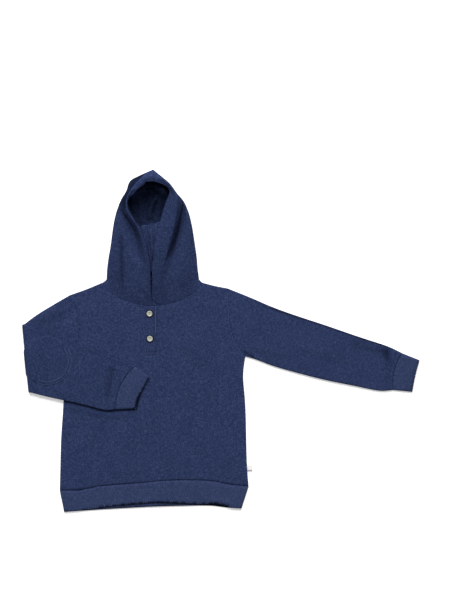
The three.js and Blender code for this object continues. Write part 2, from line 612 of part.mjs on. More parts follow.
function foldedSleeve() {
  const seam = shifted(armholeLeft, -SEAM_GAP / 2);
  const armBend = seamBend(seam);
  const straight = () => [0, 0];
  const outer = [];
  const inner = [];
  const add = (ring) => {
    outer.push(flatRing(ring));
    inner.push(flatRing({ ...ring, thin: CLOTH }));
  };
  const upperOver = smoothPath(UPPER_ARM.over);
  const upperUnder = smoothPath(UPPER_ARM.under);
  for (let i = 0; i < UPPER_ARM.rings; i += 1) {
    const t = i / UPPER_ARM.rings;
    const bend = addBends(armBend, straight, (1 - t) ** 1.5, 0);
    const line = i === 0 ? across(seam[0], seam.at(-1), armBend, lineLength(seam))
      : across(upperOver.at(t), upperUnder.at(t), bend);
    const calm = smoothstep(t, 0, 0.2);
    add({
      plan: line.plan,
      stations: edgeStations(line.length, STACK, TUBE_STEPS),
      middle: STACK,
      half: STACK,
      reliefA: (p, s) => softFolds(UPPER_ARM_FOLDS, p[0], p[1]) * calm * calmEdge(s, line.length)
        * uncovered(p[0], p[1]),
    });
  }
  const [foldOver, foldUnder] = [UPPER_ARM.over.at(-1), UPPER_ARM.under.at(-1)];
  const foldLine = across(foldOver, foldUnder, straight);
  for (let step = 0; step <= FOLD_STEPS; step += 1) {
    const angle = Math.PI * step / FOLD_STEPS;
    const outward = foldRadius * Math.sin(angle);
    add({
      plan: (d) => {
        const [x, y] = foldLine.plan(d);
        return [x - foldInward[0] * outward, y - foldInward[1] * outward, 0];
      },
      stations: edgeStations(foldLine.length, STACK, TUBE_STEPS),
      middle: foldAxis.height - foldRadius * Math.cos(angle),
      half: STACK,
      face: [foldInward[0] * Math.sin(angle), foldInward[1] * Math.sin(angle), Math.cos(angle)],
    });
  }
  const foreOver = smoothPath(FOREARM.over);
  const foreUnder = smoothPath(FOREARM.under);
  for (let i = 1; i <= FOREARM.rings; i += 1) {
    const t = i / FOREARM.rings;
    const [a, b] = [foreOver.at(t), foreUnder.at(t)];
    const backward = [a[1] - b[1], b[0] - a[0]].map((v) => -v / Math.hypot(b[0] - a[0], b[1] - a[1]));
    const line = across(a, b, roundBend(FOREARM.cuffBow * smoothstep(t, 0.55, 1), backward));
    const half = profile(FOREARM.half, t);
    const calm = smoothstep(t, 0, 0.1) * (1 - smoothstep(t, 0.96, 1));
    add({
      plan: line.plan,
      stations: edgeStations(line.length, half, TUBE_STEPS),
      middle: FOREARM_FLOOR + half,
      half,
      face: [0, 0, -1],
      reliefB: (p, s) => softFolds(FOREARM_FOLDS, p[0], p[1]) * calm * calmEdge(s, line.length),
    });
  }
  return tubeWall(outer, inner);
}

// Stations across a ribbed face, where every other one stands up
function ribStations(length, half, ribs) {
  return edgeStations(length, half, ribs * 2).map((station, k) => {
    const raised = station.angle === 90 && (k - EDGE_ANGLES.length + 1) % 2 === 1;
    return { ...station, rib: raised ? RIB_DEPTH : 0 };
  });
}

// A tube of rib: its upper face has the ribs, its lower face and its inside are plain
function ribbedTube(rings, plainSteps) {
  const outer = [];
  const inner = [];
  const ribs = Math.round((rings[0].length - 2 * rings[0].half) / RIB_PITCH);
  for (const ring of rings) {
    const stations = ribStations(ring.length, ring.half, ribs);
    const plain = edgeStations(ring.length, ring.half, plainSteps);
    const ribbed = flatRing({ ...ring, stations });
    const smooth = flatRing({ ...ring, stations: plain });
    outer.push([...ribbed.filter((p) => p.place <= 1), ...smooth.filter((p) => p.place > 1)]);
    inner.push(flatRing({ ...ring, stations: plain, thin: CLOTH }));
  }
  return tubeWall(outer, inner);
}

// A cuff, from the seam line at the end of its sleeve to its open end
function cuff({ from, to, seamBow, endBow, seamHalf, endHalf, floor }) {
  const gap = unit(from.over, to.over).map((v) => v * SEAM_GAP);
  const rings = [0, 1].map((t) => {
    const over = from.over.map((v, axis) => lerp(v + gap[axis], to.over[axis], t));
    const under = from.under.map((v, axis) => lerp(v + gap[axis], to.under[axis], t));
    const towards = [under[1] - over[1], over[0] - under[0]].map(
      (v) => v / Math.hypot(under[0] - over[0], under[1] - over[1]));
    const half = lerp(seamHalf, endHalf, t);
    const line = across(over, under, roundBend(lerp(seamBow, endBow, t), towards));
    return { plan: line.plan, length: line.length, middle: floor + half, half };
  });
  return ribbedTube(rings, TUBE_STEPS);
}

function hemBand() {
  const seam = shifted(bodyGrid(neckFront)[0], -SEAM_GAP);
  const seamAt = fractions(seam);
  const onSeam = (v) => pointAt(seam, seamAt, v);
  const front = smoothPath(HEM_EDGE_FRONT);
  const back = smoothPath(HEM_EDGE_BACK);
  const length = lineLength(seam);
  const plain = seamAt.map((f, k) => {
    const fromEnd = Math.min(k, seamAt.length - 1 - k, EDGE_ANGLES.length - 1);
    return { distance: f * length, angle: EDGE_ANGLES[fromEnd], far: k > seamAt.length / 2 };
  });
  const rowAt = (edge, t) => (distance) => {
    const v = THREE.MathUtils.clamp(distance / length, 0, 1);
    const beyond = distance - v * length;
    const top = onSeam(v);
    const bottom = edge.at(v);
    return [lerp(top[0], bottom[0], t) + beyond, lerp(top[1], bottom[1], t), 0];
  };
  const lifted = (t) => ([x]) => t * HEM_LIFT.height * Math.exp(-(((x - HEM_LIFT.x) / HEM_LIFT.width) ** 2));
  const ribs = Math.round((length - 2 * STACK) / RIB_PITCH);
  const outer = [];
  const inner = [];
  for (const t of [0, 1]) {
    const stations = ribStations(length, STACK, ribs);
    const base = { middle: STACK, half: STACK, reliefA: lifted(t) };
    const upper = flatRing({ ...base, plan: rowAt(front, t), stations }).filter((p) => p.place <= 1);
    const lower = flatRing({ ...base, plan: rowAt(back, t), stations: plain }).filter((p) => p.place > 1);
    const upperIn = flatRing({ ...base, plan: rowAt(front, t), stations: plain, thin: CLOTH });
    const lowerIn = flatRing({ ...base, plan: rowAt(back, t), stations: plain, thin: CLOTH });
    outer.push([...upper, ...lower]);
    inner.push([...upperIn.filter((p) => p.place <= 1), ...lowerIn.filter((p) => p.place > 1)]);
  }
  return tubeWall(outer, inner);
}

// The hood

const HOOD_STEPS = [2, 2, 2, 2, 3, 1, 1, 1];     // steps between the nine places across a row
const HOOD_ROWS = 2;                             // steps from a row of the table to the next one

function catmullRom(a, b, c, d, t) {
  return b.map((_, axis) => 0.5 * (2 * b[axis] + (c[axis] - a[axis]) * t
    + (2 * a[axis] - 5 * b[axis] + 4 * c[axis] - d[axis]) * t * t
    + (3 * b[axis] - a[axis] - 3 * c[axis] + d[axis]) * t * t * t));
}

function through(list, place) {
  const i = Math.min(Math.floor(place), list.length - 2);
  const at = (k) => list[THREE.MathUtils.clamp(k, 0, list.length - 1)];
  return catmullRom(at(i - 1), at(i), at(i + 1), at(i + 2), place - i);
}

// The nine places across one row of the table
function hoodRow([rim, crest, dip, bulge, side, [seamY, seamZ]]) {
  const belly = [lerp(dip[0], side[0], HOOD_BELLY), lerp(dip[1], side[1], HOOD_BELLY), bulge];
  const inset = Math.sign(side[0]) * Math.min(HOOD_UNDER, Math.abs(side[0]) / 4);
  const under = [side[0] - inset, lerp(side[1], seamY, HOOD_UNDER_ALONG), 0];
  const behind = HOOD_BEHIND.map(({ out, along, height }) => [
    side[0] * out, lerp(side[1], seamY, along), seamZ * height]);
  return [rim, crest, dip, belly, side, under, ...behind, [0, seamY, seamZ]];
}

const HOOD_ANGLES = [...NECK_ANGLES_FRONT.map((angle) => ({ angle, back: false })),
  ...NECK_ANGLES_BACK.slice(1).map((angle) => ({ angle, back: true }))];

function hoodPanel(table, outward) {
  const rows = table.map(hoodRow);
  rows.push(CROWN.map(([y, z]) => [0, y, z]));
  const places = [0];
  HOOD_STEPS.forEach((steps, i) => {
    for (let k = 1; k <= steps; k += 1) places.push(i + k / steps);
  });
  const seam = HOOD_ANGLES.map(({ angle, back }) => neckPoint(outward * angle, back));
  const neckPlace = NECK_ANGLES_FRONT.length - 1;
  const neck = seam.map(([x, y], k) => {
    const before = seam[Math.max(k - 1, 0)];
    const after = seam[Math.min(k + 1, seam.length - 1)];
    const along = unit(before, after);
    const neckside = HOOD_ANGLES[k].back ? -1 : 1;
    const inward = HOOD_ANGLES[k].angle === NECK.halfAngle ? [-outward, 0]
      : [-along[1] * neckside * outward, along[0] * neckside * outward];
    const gap = SEAM_GAP / 2;
    return [x + inward[0] * gap, y + Math.abs(inward[1]) * gap, STACK + STACK * Math.sign(neckPlace - k)];
  });
  const surface = (k, height) => {
    const columns = [neck[k], ...rows.map((row) => through(row, places[k]))];
    return through(columns, height);
  };
  const heights = Array.from({ length: rows.length * HOOD_ROWS + 1 }, (_, i) => i / HOOD_ROWS);
  const onGround = ([x, y, z]) => [x, y, Math.max(z, 0)];
  const outer = heights.map((height) => places.map((_, k) => onGround(surface(k, height))));
  const last = { row: outer.length - 1, column: places.length - 1 };
  const gapX = outward * SEAM_GAP / 2;
  const inner = outer.map((row, r) => row.map((p, k) => {
    const [west, east] = [row[Math.max(k - 1, 0)], row[Math.min(k + 1, last.column)]];
    const [south, north] = [outer[Math.max(r - 1, 0)][k], outer[Math.min(r + 1, last.row)][k]];
    const s = new THREE.Vector3(...east).sub(new THREE.Vector3(...west));
    const t = new THREE.Vector3(...north).sub(new THREE.Vector3(...south));
    const normal = s.cross(t).multiplyScalar(outward);
    if (r === last.row) normal.set(0, west[2] - east[2], east[1] - west[1]);
    else if (k === last.column) normal.set(0, north[2] - south[2], south[1] - north[1]);
    if (r === 0) {
      const turn = Math.sign(neckPlace - k);
      normal.set(turn === 0 ? outward : 0, 0, turn);
    }
    normal.normalize();
    return [p[0] - normal.x * CLOTH, p[1] - normal.y * CLOTH, p[2] - normal.z * CLOTH];
  }));
  const apart = (grid) => grid.map((row, r) => row.map((p, k) => {
    const onPlane = r === last.row || k === last.column;
    return onPlane ? [gapX, p[1], p[2]] : p;
  }));
  return sheetWall(apart(outer), apart(inner));
}

// Booleans

function toSolid(geometry) {
  const bare = geometry.clone();
  bare.deleteAttribute('normal');
  bare.deleteAttribute('uv');
  const merged = mergeVertices(bare, 1e-4);
  return new wasm.Manifold(new wasm.Mesh({
    numProp: 3,
    vertProperties: new Float32Array(merged.attributes.position.array),
    triVerts: new Uint32Array(merged.index.array),
  }));
}

function fromSolid(solid) {
  const mesh = solid.getMesh();
  const geometry = new THREE.BufferGeometry();
  geometry.setAttribute('position', new THREE.BufferAttribute(new Float32Array(mesh.vertProperties), 3));
  geometry.setIndex(new THREE.BufferAttribute(new Uint32Array(mesh.triVerts), 1));
  return geometry;
}

// The placket: a slit in the front, a strip that fills it and a strip that lies over both

const necklineLow = shifted(neckFront, -SEAM_GAP / 2);
const necklineAt = (x) => pointAt(necklineLow, necklineLow.map((p) => p[0]), x)[1];

function bodyFront() {
  const { left, right, bottom } = PLACKET;
  const height = necklineAt(NECK.x) + 10 - bottom;
  const slit = new THREE.BoxGeometry(right - left, height, 8 * STACK);
  slit.translate((left + right) / 2, bottom + height / 2, 2 * STACK);
  return fromSolid(toSolid(bodySheet(bodyGrid(neckFront), 1, frontRelief)).subtract(toSolid(slit)));
}

const PLACKET_ROWS = 6;

function placketStrip({ left, right, bottom, top, lift }) {
  const onNeck = NECK_ANGLES_FRONT.slice(0, 3).reverse().map((angle) => neckPoint(-angle, false)[0]);
  const columns = [left, ...onNeck, right];
  const grid = (z) => Array.from({ length: PLACKET_ROWS + 1 }, (_, r) => columns.map((x) => {
    const y = lerp(bottom, necklineAt(x) - top, r / PLACKET_ROWS);
    return [x, y, frontTop(x, y) + z];
  }));
  return sheetWall(grid(lift + CLOTH), grid(lift));
}

const placketUnder = () => placketStrip({
  left: PLACKET.left + SEAM_GAP, right: PLACKET.right - SEAM_GAP, bottom: PLACKET.bottom + SEAM_GAP,
  top: 0, lift: -CLOTH,
});
const placketTop = () => placketStrip({
  left: PLACKET.left - PLACKET.overlap, right: PLACKET.right, bottom: PLACKET.bottom - PLACKET.overlap,
  top: SEAM_GAP, lift: LAID_GAP,
});

function button({ x, y, turn }) {
  const { radius, thickness, dish, hole, holeSpacing } = BUTTON;
  const outline = [[0, 0], [radius * 0.8, 0], [radius, thickness * 0.4], [radius * 0.94, thickness],
    [radius * 0.74, thickness], [radius * 0.52, thickness - dish], [0, thickness - dish]];
  const disc = new THREE.LatheGeometry(outline.map(([r, z]) => new THREE.Vector2(r, z)), 20);
  disc.rotateX(Math.PI / 2);
  const drill = new THREE.CylinderGeometry(hole, hole, 3 * thickness, 10);
  drill.rotateX(Math.PI / 2);
  let solid = toSolid(disc);
  for (const end of [-1, 1]) {
    const cutter = drill.clone();
    const away = end * holeSpacing;
    cutter.translate(away * Math.cos(degrees(turn)), away * Math.sin(degrees(turn)), thickness / 2);
    solid = solid.subtract(toSolid(cutter));
  }
  const geometry = fromSolid(solid);
  geometry.translate(x, y, frontTop(x, y) + LAID_GAP + CLOTH + LAID_GAP);
  return geometry;
}

// The elbow patch: an oval on the forearm that goes round the fold and a little way under. A column's
// arc is its distance from the end of the fold's half circle, and the columns close up at the far end.

const PATCH_COLUMNS = 11;
const PATCH_ROWS = 6;
const PATCH_BLUNT = 1.015;       // the oval is this much wider than its columns, so that its ends stay blunt

function elbowPatch() {
  const outerRadius = foldRadius + STACK;
  const sleeveTop = (p) => FOREARM_FLOOR + 2 * forearmHalfAt(p) + softFolds(FOREARM_FOLDS, p[0], p[1]);
  const roundFold = [PATCH.underAngle, 60, 90, 120, 150, 180].map(
    (angle) => ({ angle, arc: outerRadius * degrees(angle - 180) }));
  const flat = Array.from({ length: PATCH_COLUMNS }, (_, i) => (
    { angle: 180, arc: PATCH.reach * Math.sin(Math.PI / 2 * (i + 1) / PATCH_COLUMNS) }));
  const columns = [...roundFold, ...flat];
  const [from, to] = [columns[0].arc, PATCH.reach];
  const halfWidth = (to - from) / 2 * PATCH_BLUNT;
  const layer = (lift) => columns.map(({ angle, arc }) => {
    const tall = PATCH.halfHeight * Math.sqrt(1 - ((arc - (from + to) / 2) / halfWidth) ** 2);
    return Array.from({ length: PATCH_ROWS + 1 }, (_, k) => {
      const along = PATCH.middle + tall * (2 * k / PATCH_ROWS - 1);
      if (arc > 0) {
        const p = foldPoint(foldAxis.inward + arc, along);
        return [...p, sleeveTop(p) + lift];
      }
      const radius = outerRadius + lift;
      const outward = radius * Math.sin(degrees(angle));
      const p = foldPoint(foldAxis.inward - outward, along);
      return [...p, foldAxis.height - radius * Math.cos(degrees(angle))];
    });
  });
  return sheetWall(layer(PATCH.lift + PATCH.thickness), layer(PATCH.lift));
}

// How far along an edge the point nearest to a place lies, as a fraction
function nearestFraction(points, [x, y]) {
  const line = samplePath(points, EDGE_DETAIL);
  const away = line.map((p) => Math.hypot(p[0] - x, p[1] - y));
  return away.indexOf(Math.min(...away)) / EDGE_DETAIL;
}

// Half the height of the forearm at a place on it, from how far along the arm the place is
function forearmHalfAt(p) {
  const along = (nearestFraction(FOREARM.over, p) + nearestFraction(FOREARM.under, p)) / 2;
  return profile(FOREARM.half, Math.min(1, along + 0.5 / EDGE_DETAIL));
}

// The blank label: a short ribbon folded in half, standing out from the side seam
function sideLabel() {
  const { y, length, height, wall, slit } = LABEL;
  const outer = wall + slit / 2;
  const shape = new THREE.Shape();
  shape.moveTo(0, -outer);
  shape.lineTo(length - outer, -outer);
  shape.absarc(length - outer, 0, outer, -Math.PI / 2, Math.PI / 2, false);
  shape.lineTo(0, outer);
  shape.lineTo(0, slit / 2);
  shape.lineTo(length - outer, slit / 2);
  shape.absarc(length - outer, 0, slit / 2, Math.PI / 2, -Math.PI / 2, true);
  shape.lineTo(0, -slit / 2);
  shape.closePath();
  const sweep = { depth: height, bevelEnabled: false, curveSegments: 5 };
  const geometry = new THREE.ExtrudeGeometry(shape, sweep);
  geometry.rotateX(Math.PI / 2);
  const edge = nearestOn([sideRight], 200, y);
  geometry.translate(edge.x + SEAM_GAP, y + height, STACK);
  return geometry;
}

// Materials

const navyCloth = { color: 0x2e3859, roughness: 0.95, metalness: 0 };
const navyRib = { color: 0x333e5e, roughness: 0.95, metalness: 0 };
const creamButton = { color: 0xebe6cd, roughness: 0.45, metalness: 0 };
const whiteRibbon = { color: 0xf4f4f2, roughness: 0.7, metalness: 0 };

const longCuffSeam = { over: LONG_SLEEVE.over.at(-1), under: LONG_SLEEVE.under.at(-1) };
const foldedCuffSeam = { over: FOREARM.over.at(-1), under: FOREARM.under.at(-1) };

const pieces = [
  ['body_back', bodySheet(bodyGrid(neckBack), -1, () => 0), navyCloth],
  ['body_front', bodyFront(), navyCloth],
  ['placket_under', placketUnder(), navyCloth],
  ['placket_top', placketTop(), navyCloth],
  ...BUTTONS.map((row) => [row.name, button(row), creamButton]),
  ['sleeve_left', longSleeve(), navyCloth],
  ['cuff_left', cuff({
    from: longCuffSeam, to: LONG_CUFF, seamBow: LONG_SLEEVE.cuffBow, endBow: LONG_CUFF.bow,
    seamHalf: LONG_SLEEVE.half[2], endHalf: LONG_CUFF.half, floor: 0,
  }), navyRib],
  ['sleeve_right', foldedSleeve(), navyCloth],
  ['elbow_patch', elbowPatch(), navyCloth],
  ['cuff_right', cuff({
    from: foldedCuffSeam, to: FOLDED_CUFF, seamBow: FOREARM.cuffBow, endBow: FOLDED_CUFF.bow,
    seamHalf: FOREARM.half[2], endHalf: FOLDED_CUFF.half, floor: FOREARM_FLOOR,
  }), navyRib],
  ['hem_band', hemBand(), navyRib],
  ['hood_left', hoodPanel(HOOD_LEFT, -1), navyCloth],
  ['hood_right', hoodPanel(HOOD_RIGHT, 1), navyCloth],
  ['side_label', sideLabel(), whiteRibbon],
];

const hoodie = new THREE.Group();
for (const [name, geometry, finish] of pieces) {
  const mesh = new THREE.Mesh(geometry, new THREE.MeshStandardMaterial(finish));
  mesh.name = name;
  hoodie.add(mesh);
}

// The origin is the middle of the footprint, on the ground
const box = new THREE.Box3().setFromObject(hoodie);
hoodie.position.set(-(box.min.x + box.max.x) / 2, -(box.min.y + box.max.y) / 2, -box.min.z);
hoodie.updateMatrixWorld(true);

export default hoodie;
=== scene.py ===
# %% [markdown]
# # A toddler's hooded sweatshirt, laid flat
#
# The real thing is cut from brushed, marled navy sweatshirt knit: a front, a back, two sleeves, two hood
# panels, rib cuffs and a rib band, a short placket with two cream buttons, a round elbow patch and a
# small white side label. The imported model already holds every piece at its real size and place.
# Here each piece gets its fine surface: soft creases, sunken seams, sewing and knit. The script reads
# from top to bottom, and each piece or finish has a note of its own before the code that makes it.

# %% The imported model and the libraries
import math
from collections import namedtuple

import bmesh
import bpy
import numpy as np
from mathutils import Matrix, Vector
from mathutils.bvhtree import BVHTree


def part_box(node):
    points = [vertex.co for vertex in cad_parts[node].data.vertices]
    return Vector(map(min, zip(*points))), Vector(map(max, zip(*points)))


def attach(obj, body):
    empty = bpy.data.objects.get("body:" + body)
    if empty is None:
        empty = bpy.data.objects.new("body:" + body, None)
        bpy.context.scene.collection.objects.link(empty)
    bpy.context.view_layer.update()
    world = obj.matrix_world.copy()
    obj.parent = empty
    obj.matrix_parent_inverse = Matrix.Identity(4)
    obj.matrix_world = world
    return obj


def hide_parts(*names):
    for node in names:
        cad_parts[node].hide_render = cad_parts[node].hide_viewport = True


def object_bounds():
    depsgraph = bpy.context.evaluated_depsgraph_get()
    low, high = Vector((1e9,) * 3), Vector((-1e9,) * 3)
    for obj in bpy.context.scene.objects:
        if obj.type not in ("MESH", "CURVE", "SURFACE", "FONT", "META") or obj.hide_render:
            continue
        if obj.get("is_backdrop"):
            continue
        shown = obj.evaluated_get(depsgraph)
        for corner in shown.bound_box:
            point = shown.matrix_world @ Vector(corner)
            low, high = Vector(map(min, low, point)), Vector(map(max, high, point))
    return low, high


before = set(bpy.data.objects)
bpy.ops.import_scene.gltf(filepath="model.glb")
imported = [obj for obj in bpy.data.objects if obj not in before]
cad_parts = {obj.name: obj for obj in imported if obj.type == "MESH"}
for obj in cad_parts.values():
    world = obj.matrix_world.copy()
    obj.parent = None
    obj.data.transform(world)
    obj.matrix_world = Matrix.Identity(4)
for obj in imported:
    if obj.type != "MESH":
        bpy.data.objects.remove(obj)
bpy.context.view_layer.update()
MM = 0.001

# %% [markdown]
# ## The camera
#
# The photograph looks straight down on the garment. One pixel of its 450 × 600 frame is 1.8 mm, and the
# part's origin lies at one known pixel, so a place in the photograph turns into a place on the floor
# with two sums. A long lens far away keeps the raised hood from leaning outwards, which a short lens
# close by would do.

# %% Places in the photograph and the camera
PIXEL = 1.8 * MM
ORIGIN_PIXEL = (220.78, 340.95)
PHOTO_SIZE = (450, 600)
LENS_MM = 200
SENSOR_MM = 36


def new_object(name, data):
    """An object at the origin that shows a mesh, a camera or a lamp."""
    made = bpy.data.objects.new(name, data)
    bpy.context.scene.collection.objects.link(made)
    return made


def at_pixel(px, py):
    """The place on the floor, in metres, of a pixel of the photograph."""
    return (px - ORIGIN_PIXEL[0]) * PIXEL, (ORIGIN_PIXEL[1] - py) * PIXEL


camera_data = bpy.data.cameras.new("overhead_camera")
camera_data.lens = LENS_MM
camera_data.sensor_width = SENSOR_MM
camera = new_object("overhead_camera", camera_data)
camera_height = PHOTO_SIZE[1] * PIXEL * LENS_MM / SENSOR_MM
camera.location = (*at_pixel(PHOTO_SIZE[0] / 2, PHOTO_SIZE[1] / 2), camera_height)
camera_data.clip_end = 4 * camera_height
bpy.context.scene.camera = camera
print("camera at", [round(v, 3) for v in camera.location])

# %% [markdown]
# ## Helpers for materials
#
# A material is a small graph. These helpers add a node, set its plain values and wire its inputs, so
# that each finish further down reads as a short list.


# %% Node helpers
def set_inputs(node, values):
    """Sets plain values on a node's inputs, by name or number."""
    for key, value in values.items():
        node.inputs[key].default_value = value


def add_node(tree, kind, settings=None, values=None, links=None):
    """A node of that kind, with attributes set, input values set and inputs linked by name or number."""
    node = tree.nodes.new(kind)
    for name, value in (settings or {}).items():
        setattr(node, name, value)
    set_inputs(node, values or {})
    for key, output in (links or {}).items():
        tree.links.new(output, node.inputs[key])
    return node


def new_group(name, inputs, outputs):
    """A shader node group with named sockets, and its input and output nodes."""
    tree = bpy.data.node_groups.new(name, "ShaderNodeTree")
    for socket, kind, default in inputs:
        made = tree.interface.new_socket(socket, in_out="INPUT", socket_type=kind)
        if default is not None:
            made.default_value = default
    for socket, kind in outputs:
        tree.interface.new_socket(socket, in_out="OUTPUT", socket_type=kind)
    return tree, tree.nodes.new("NodeGroupInput"), tree.nodes.new("NodeGroupOutput")


def math_node(tree, operation, a, b=None):
    """The output of a Math node. Each operand is a number or an output."""
    node = add_node(tree, "ShaderNodeMath", {"operation": operation})
    for i, operand in enumerate(v for v in (a, b) if v is not None):
        if isinstance(operand, (int, float)):
            node.inputs[i].default_value = operand
        else:
            tree.links.new(operand, node.inputs[i])
    return node.outputs[0]


def scaled(tree, vector, x, y, z):
    """A vector times three numbers."""
    node = add_node(tree, "ShaderNodeVectorMath", {"operation": "MULTIPLY"}, {1: (x, y, z)}, {0: vector})
    return node.outputs[0]


def ranged(tree, value, low, high, to_low=0.0, to_high=1.0):
    """A value mapped from one range to another, smoothly, and held at the ends."""
    node = add_node(tree, "ShaderNodeMapRange", {"interpolation_type": "SMOOTHSTEP"},
                    {"From Min": low, "From Max": high, "To Min": to_low, "To Max": to_high},
                    {"Value": value})
    return node.outputs["Result"]


def noise(tree, vector, detail=2.0, roughness=0.5):
    """Smooth noise, one lump to each whole step of the vector."""
    node = add_node(tree, "ShaderNodeTexNoise", {"noise_dimensions": "3D"},
                    {"Scale": 1.0, "Detail": detail, "Roughness": roughness}, {"Vector": vector})
    return node.outputs["Fac"]


def mixed(tree, factor, a, b, blend="MIX"):
    """Two colours mixed by a factor. Each is a colour or an output."""
    node = add_node(tree, "ShaderNodeMix", {"data_type": "RGBA", "blend_type": blend})
    colour_inputs = [s for s in node.inputs if s.type == "RGBA"]
    for socket, value in ((node.inputs[0], factor), *zip(colour_inputs, (a, b))):
        if isinstance(value, (int, float, tuple)):
            socket.default_value = value
        else:
            tree.links.new(value, socket)
    return next(s for s in node.outputs if s.type == "RGBA")


def base_material(name, roughness):
    """A new material, its graph and its shader."""
    material = bpy.data.materials.new(name)
    material.use_nodes = True
    shader = material.node_tree.nodes["Principled BSDF"]
    shader.inputs["Roughness"].default_value = roughness
    return material, material.node_tree, shader


def place_on_object(tree):
    """The place on the object, which small hard pieces take their patterns from."""
    return add_node(tree, "ShaderNodeTexCoord").outputs["Object"]


def speckled_material(name, roughness, scale, tones, detail=2.0, spread=None):
    """A finish that wanders between two tones, with so many lumps a metre along x, y and z."""
    material, tree, shader = base_material(name, roughness)
    lumps = noise(tree, scaled(tree, place_on_object(tree), *scale), detail)
    if spread:
        lumps = ranged(tree, lumps, *spread)
    colour = mixed(tree, lumps, *((*tone, 1) for tone in tones))
    tree.links.new(colour, shader.inputs["Base Color"])
    return material, tree, shader


# %% [markdown]
# ## Marled knit
#
# Marled yarn is spun from light and dark fibres, so the cloth is never one blue: short lighter and
# darker dashes run along the wales, and broader, fainter clouds lie over them. An image of cloth would
# repeat, so the dashes are noise stretched along the grain. Body cloth and rib share this group and only
# differ in its values. It reads the attribute "grain", the place on the cloth in metres across and
# along its wales, so the dashes turn with each sleeve. A second attribute, "shade", is painted shade:
# it is 1 on the lining deep in the hood, where little light reaches, and part of that in creases too
# fine for the mesh to carry, and it paints a shadow round the buttons.

# %% The marled knit group
# Lumps of each pattern across the wales, along them and through the cloth, in metres
DASH_SIZE = (0.0015, 0.0050, 0.006)
SLUB_SIZE = (0.0060, 0.0016, 0.006)
DARK_FIBRE_SIZE = (0.0024, 0.0030, 0.006)
CLOUD_SIZE = (0.034, 0.045, 0.04)
FUZZ_SIZE = (0.0016, 0.0022, 0.002)
CLOUD_TONES = (0.96, 1.04)
DARKEST_SHADE = 0.28

marl, marl_in, marl_out = new_group(
    "marled_knit",
    [("Grain", "NodeSocketVector", None), ("Yarn", "NodeSocketColor", None),
     ("Light Fibre", "NodeSocketColor", None), ("Dark Fibre", "NodeSocketColor", None),
     ("Marl", "NodeSocketFloat", 0.5), ("Wale", "NodeSocketFloat", 1.1 * MM),
     ("Shade", "NodeSocketFloat", 0.0)],
    [("Color", "NodeSocketColor"), ("Height", "NodeSocketFloat")])

grain = marl_in.outputs["Grain"]


def grain_noise(size, detail=3.0, roughness=0.6):
    """Noise that lies along the wales, with lumps of that size."""
    return noise(marl, scaled(marl, grain, *(1 / side for side in size)), detail, roughness)


dashes = ranged(marl, grain_noise(DASH_SIZE), 0.48, 0.70)
slubs = ranged(marl, grain_noise(SLUB_SIZE), 0.5, 0.70)
dark_fibres = ranged(marl, grain_noise(DARK_FIBRE_SIZE), 0.34, 0.60)
clouds = grain_noise(CLOUD_SIZE, 2.0, 0.5)
marl_amount = marl_in.outputs["Marl"]
light_share = math_node(marl, "MULTIPLY", math_node(marl, "MAXIMUM", dashes, slubs), marl_amount)
dark_share = math_node(marl, "MULTIPLY", math_node(marl, "SUBTRACT", 1.0, dark_fibres), marl_amount)
colour = mixed(marl, dark_share, marl_in.outputs["Yarn"], marl_in.outputs["Dark Fibre"])
colour = mixed(marl, light_share, colour, marl_in.outputs["Light Fibre"])
cloud_tone = ranged(marl, clouds, 0.3, 0.7, *CLOUD_TONES)
shade_tone = ranged(marl, marl_in.outputs["Shade"], 0.0, 1.0, 1.0, DARKEST_SHADE)
tone = math_node(marl, "MULTIPLY", cloud_tone, shade_tone)
tone_colour = add_node(marl, "ShaderNodeCombineColor", links={0: tone, 1: tone, 2: tone})
colour = mixed(marl, 1.0, colour, tone_colour.outputs[0], "MULTIPLY")
marl.links.new(colour, marl_out.inputs["Color"])

# The wales are rounded columns of loops, and each loop tips to one side and then to the other
LOOP_SLANT = 2.0
LOOP_HEIGHT = 0.25
FUZZ_HEIGHT = 0.9
split = add_node(marl, "ShaderNodeSeparateXYZ", links={0: grain})
across_turn = math_node(marl, "DIVIDE", split.outputs[0], marl_in.outputs["Wale"])
column_wave = math_node(marl, "SINE", math_node(marl, "MULTIPLY", across_turn, math.pi))
column = math_node(marl, "ABSOLUTE", column_wave)
along_turn = math_node(marl, "DIVIDE", split.outputs[1], marl_in.outputs["Wale"])
loop_turn = math_node(marl, "ADD", math_node(marl, "MULTIPLY", along_turn, 2 * math.pi),
                      math_node(marl, "MULTIPLY", column, LOOP_SLANT))
loops = math_node(marl, "MULTIPLY", math_node(marl, "SINE", loop_turn), LOOP_HEIGHT)
fuzz = math_node(marl, "MULTIPLY", grain_noise(FUZZ_SIZE, 3.0, 0.7), FUZZ_HEIGHT)
height = math_node(marl, "ADD", math_node(marl, "ADD", column, loops), fuzz)
marl.links.new(height, marl_out.inputs["Height"])
print("marled knit group:", len(marl.nodes), "nodes")

# %% [markdown]
# ## The cloth finishes
#
# Brushed cotton scatters light in every direction and has a faint bloom where the nap is seen edge on.
# That bloom is the shader's sheen, set as a plain value. The rib is the same yarn knitted tighter, and
# looks slightly lighter and more purple than the body cloth.


# %% Cloth materials
KNIT_BUMP = {"Strength": 0.5, "Distance": 0.25 * MM}
KNIT_BLOOM = {"Specular IOR Level": 0.0, "Sheen Weight": 0.01, "Sheen Roughness": 0.5,
              "Sheen Tint": (0.45, 0.52, 0.8, 1)}


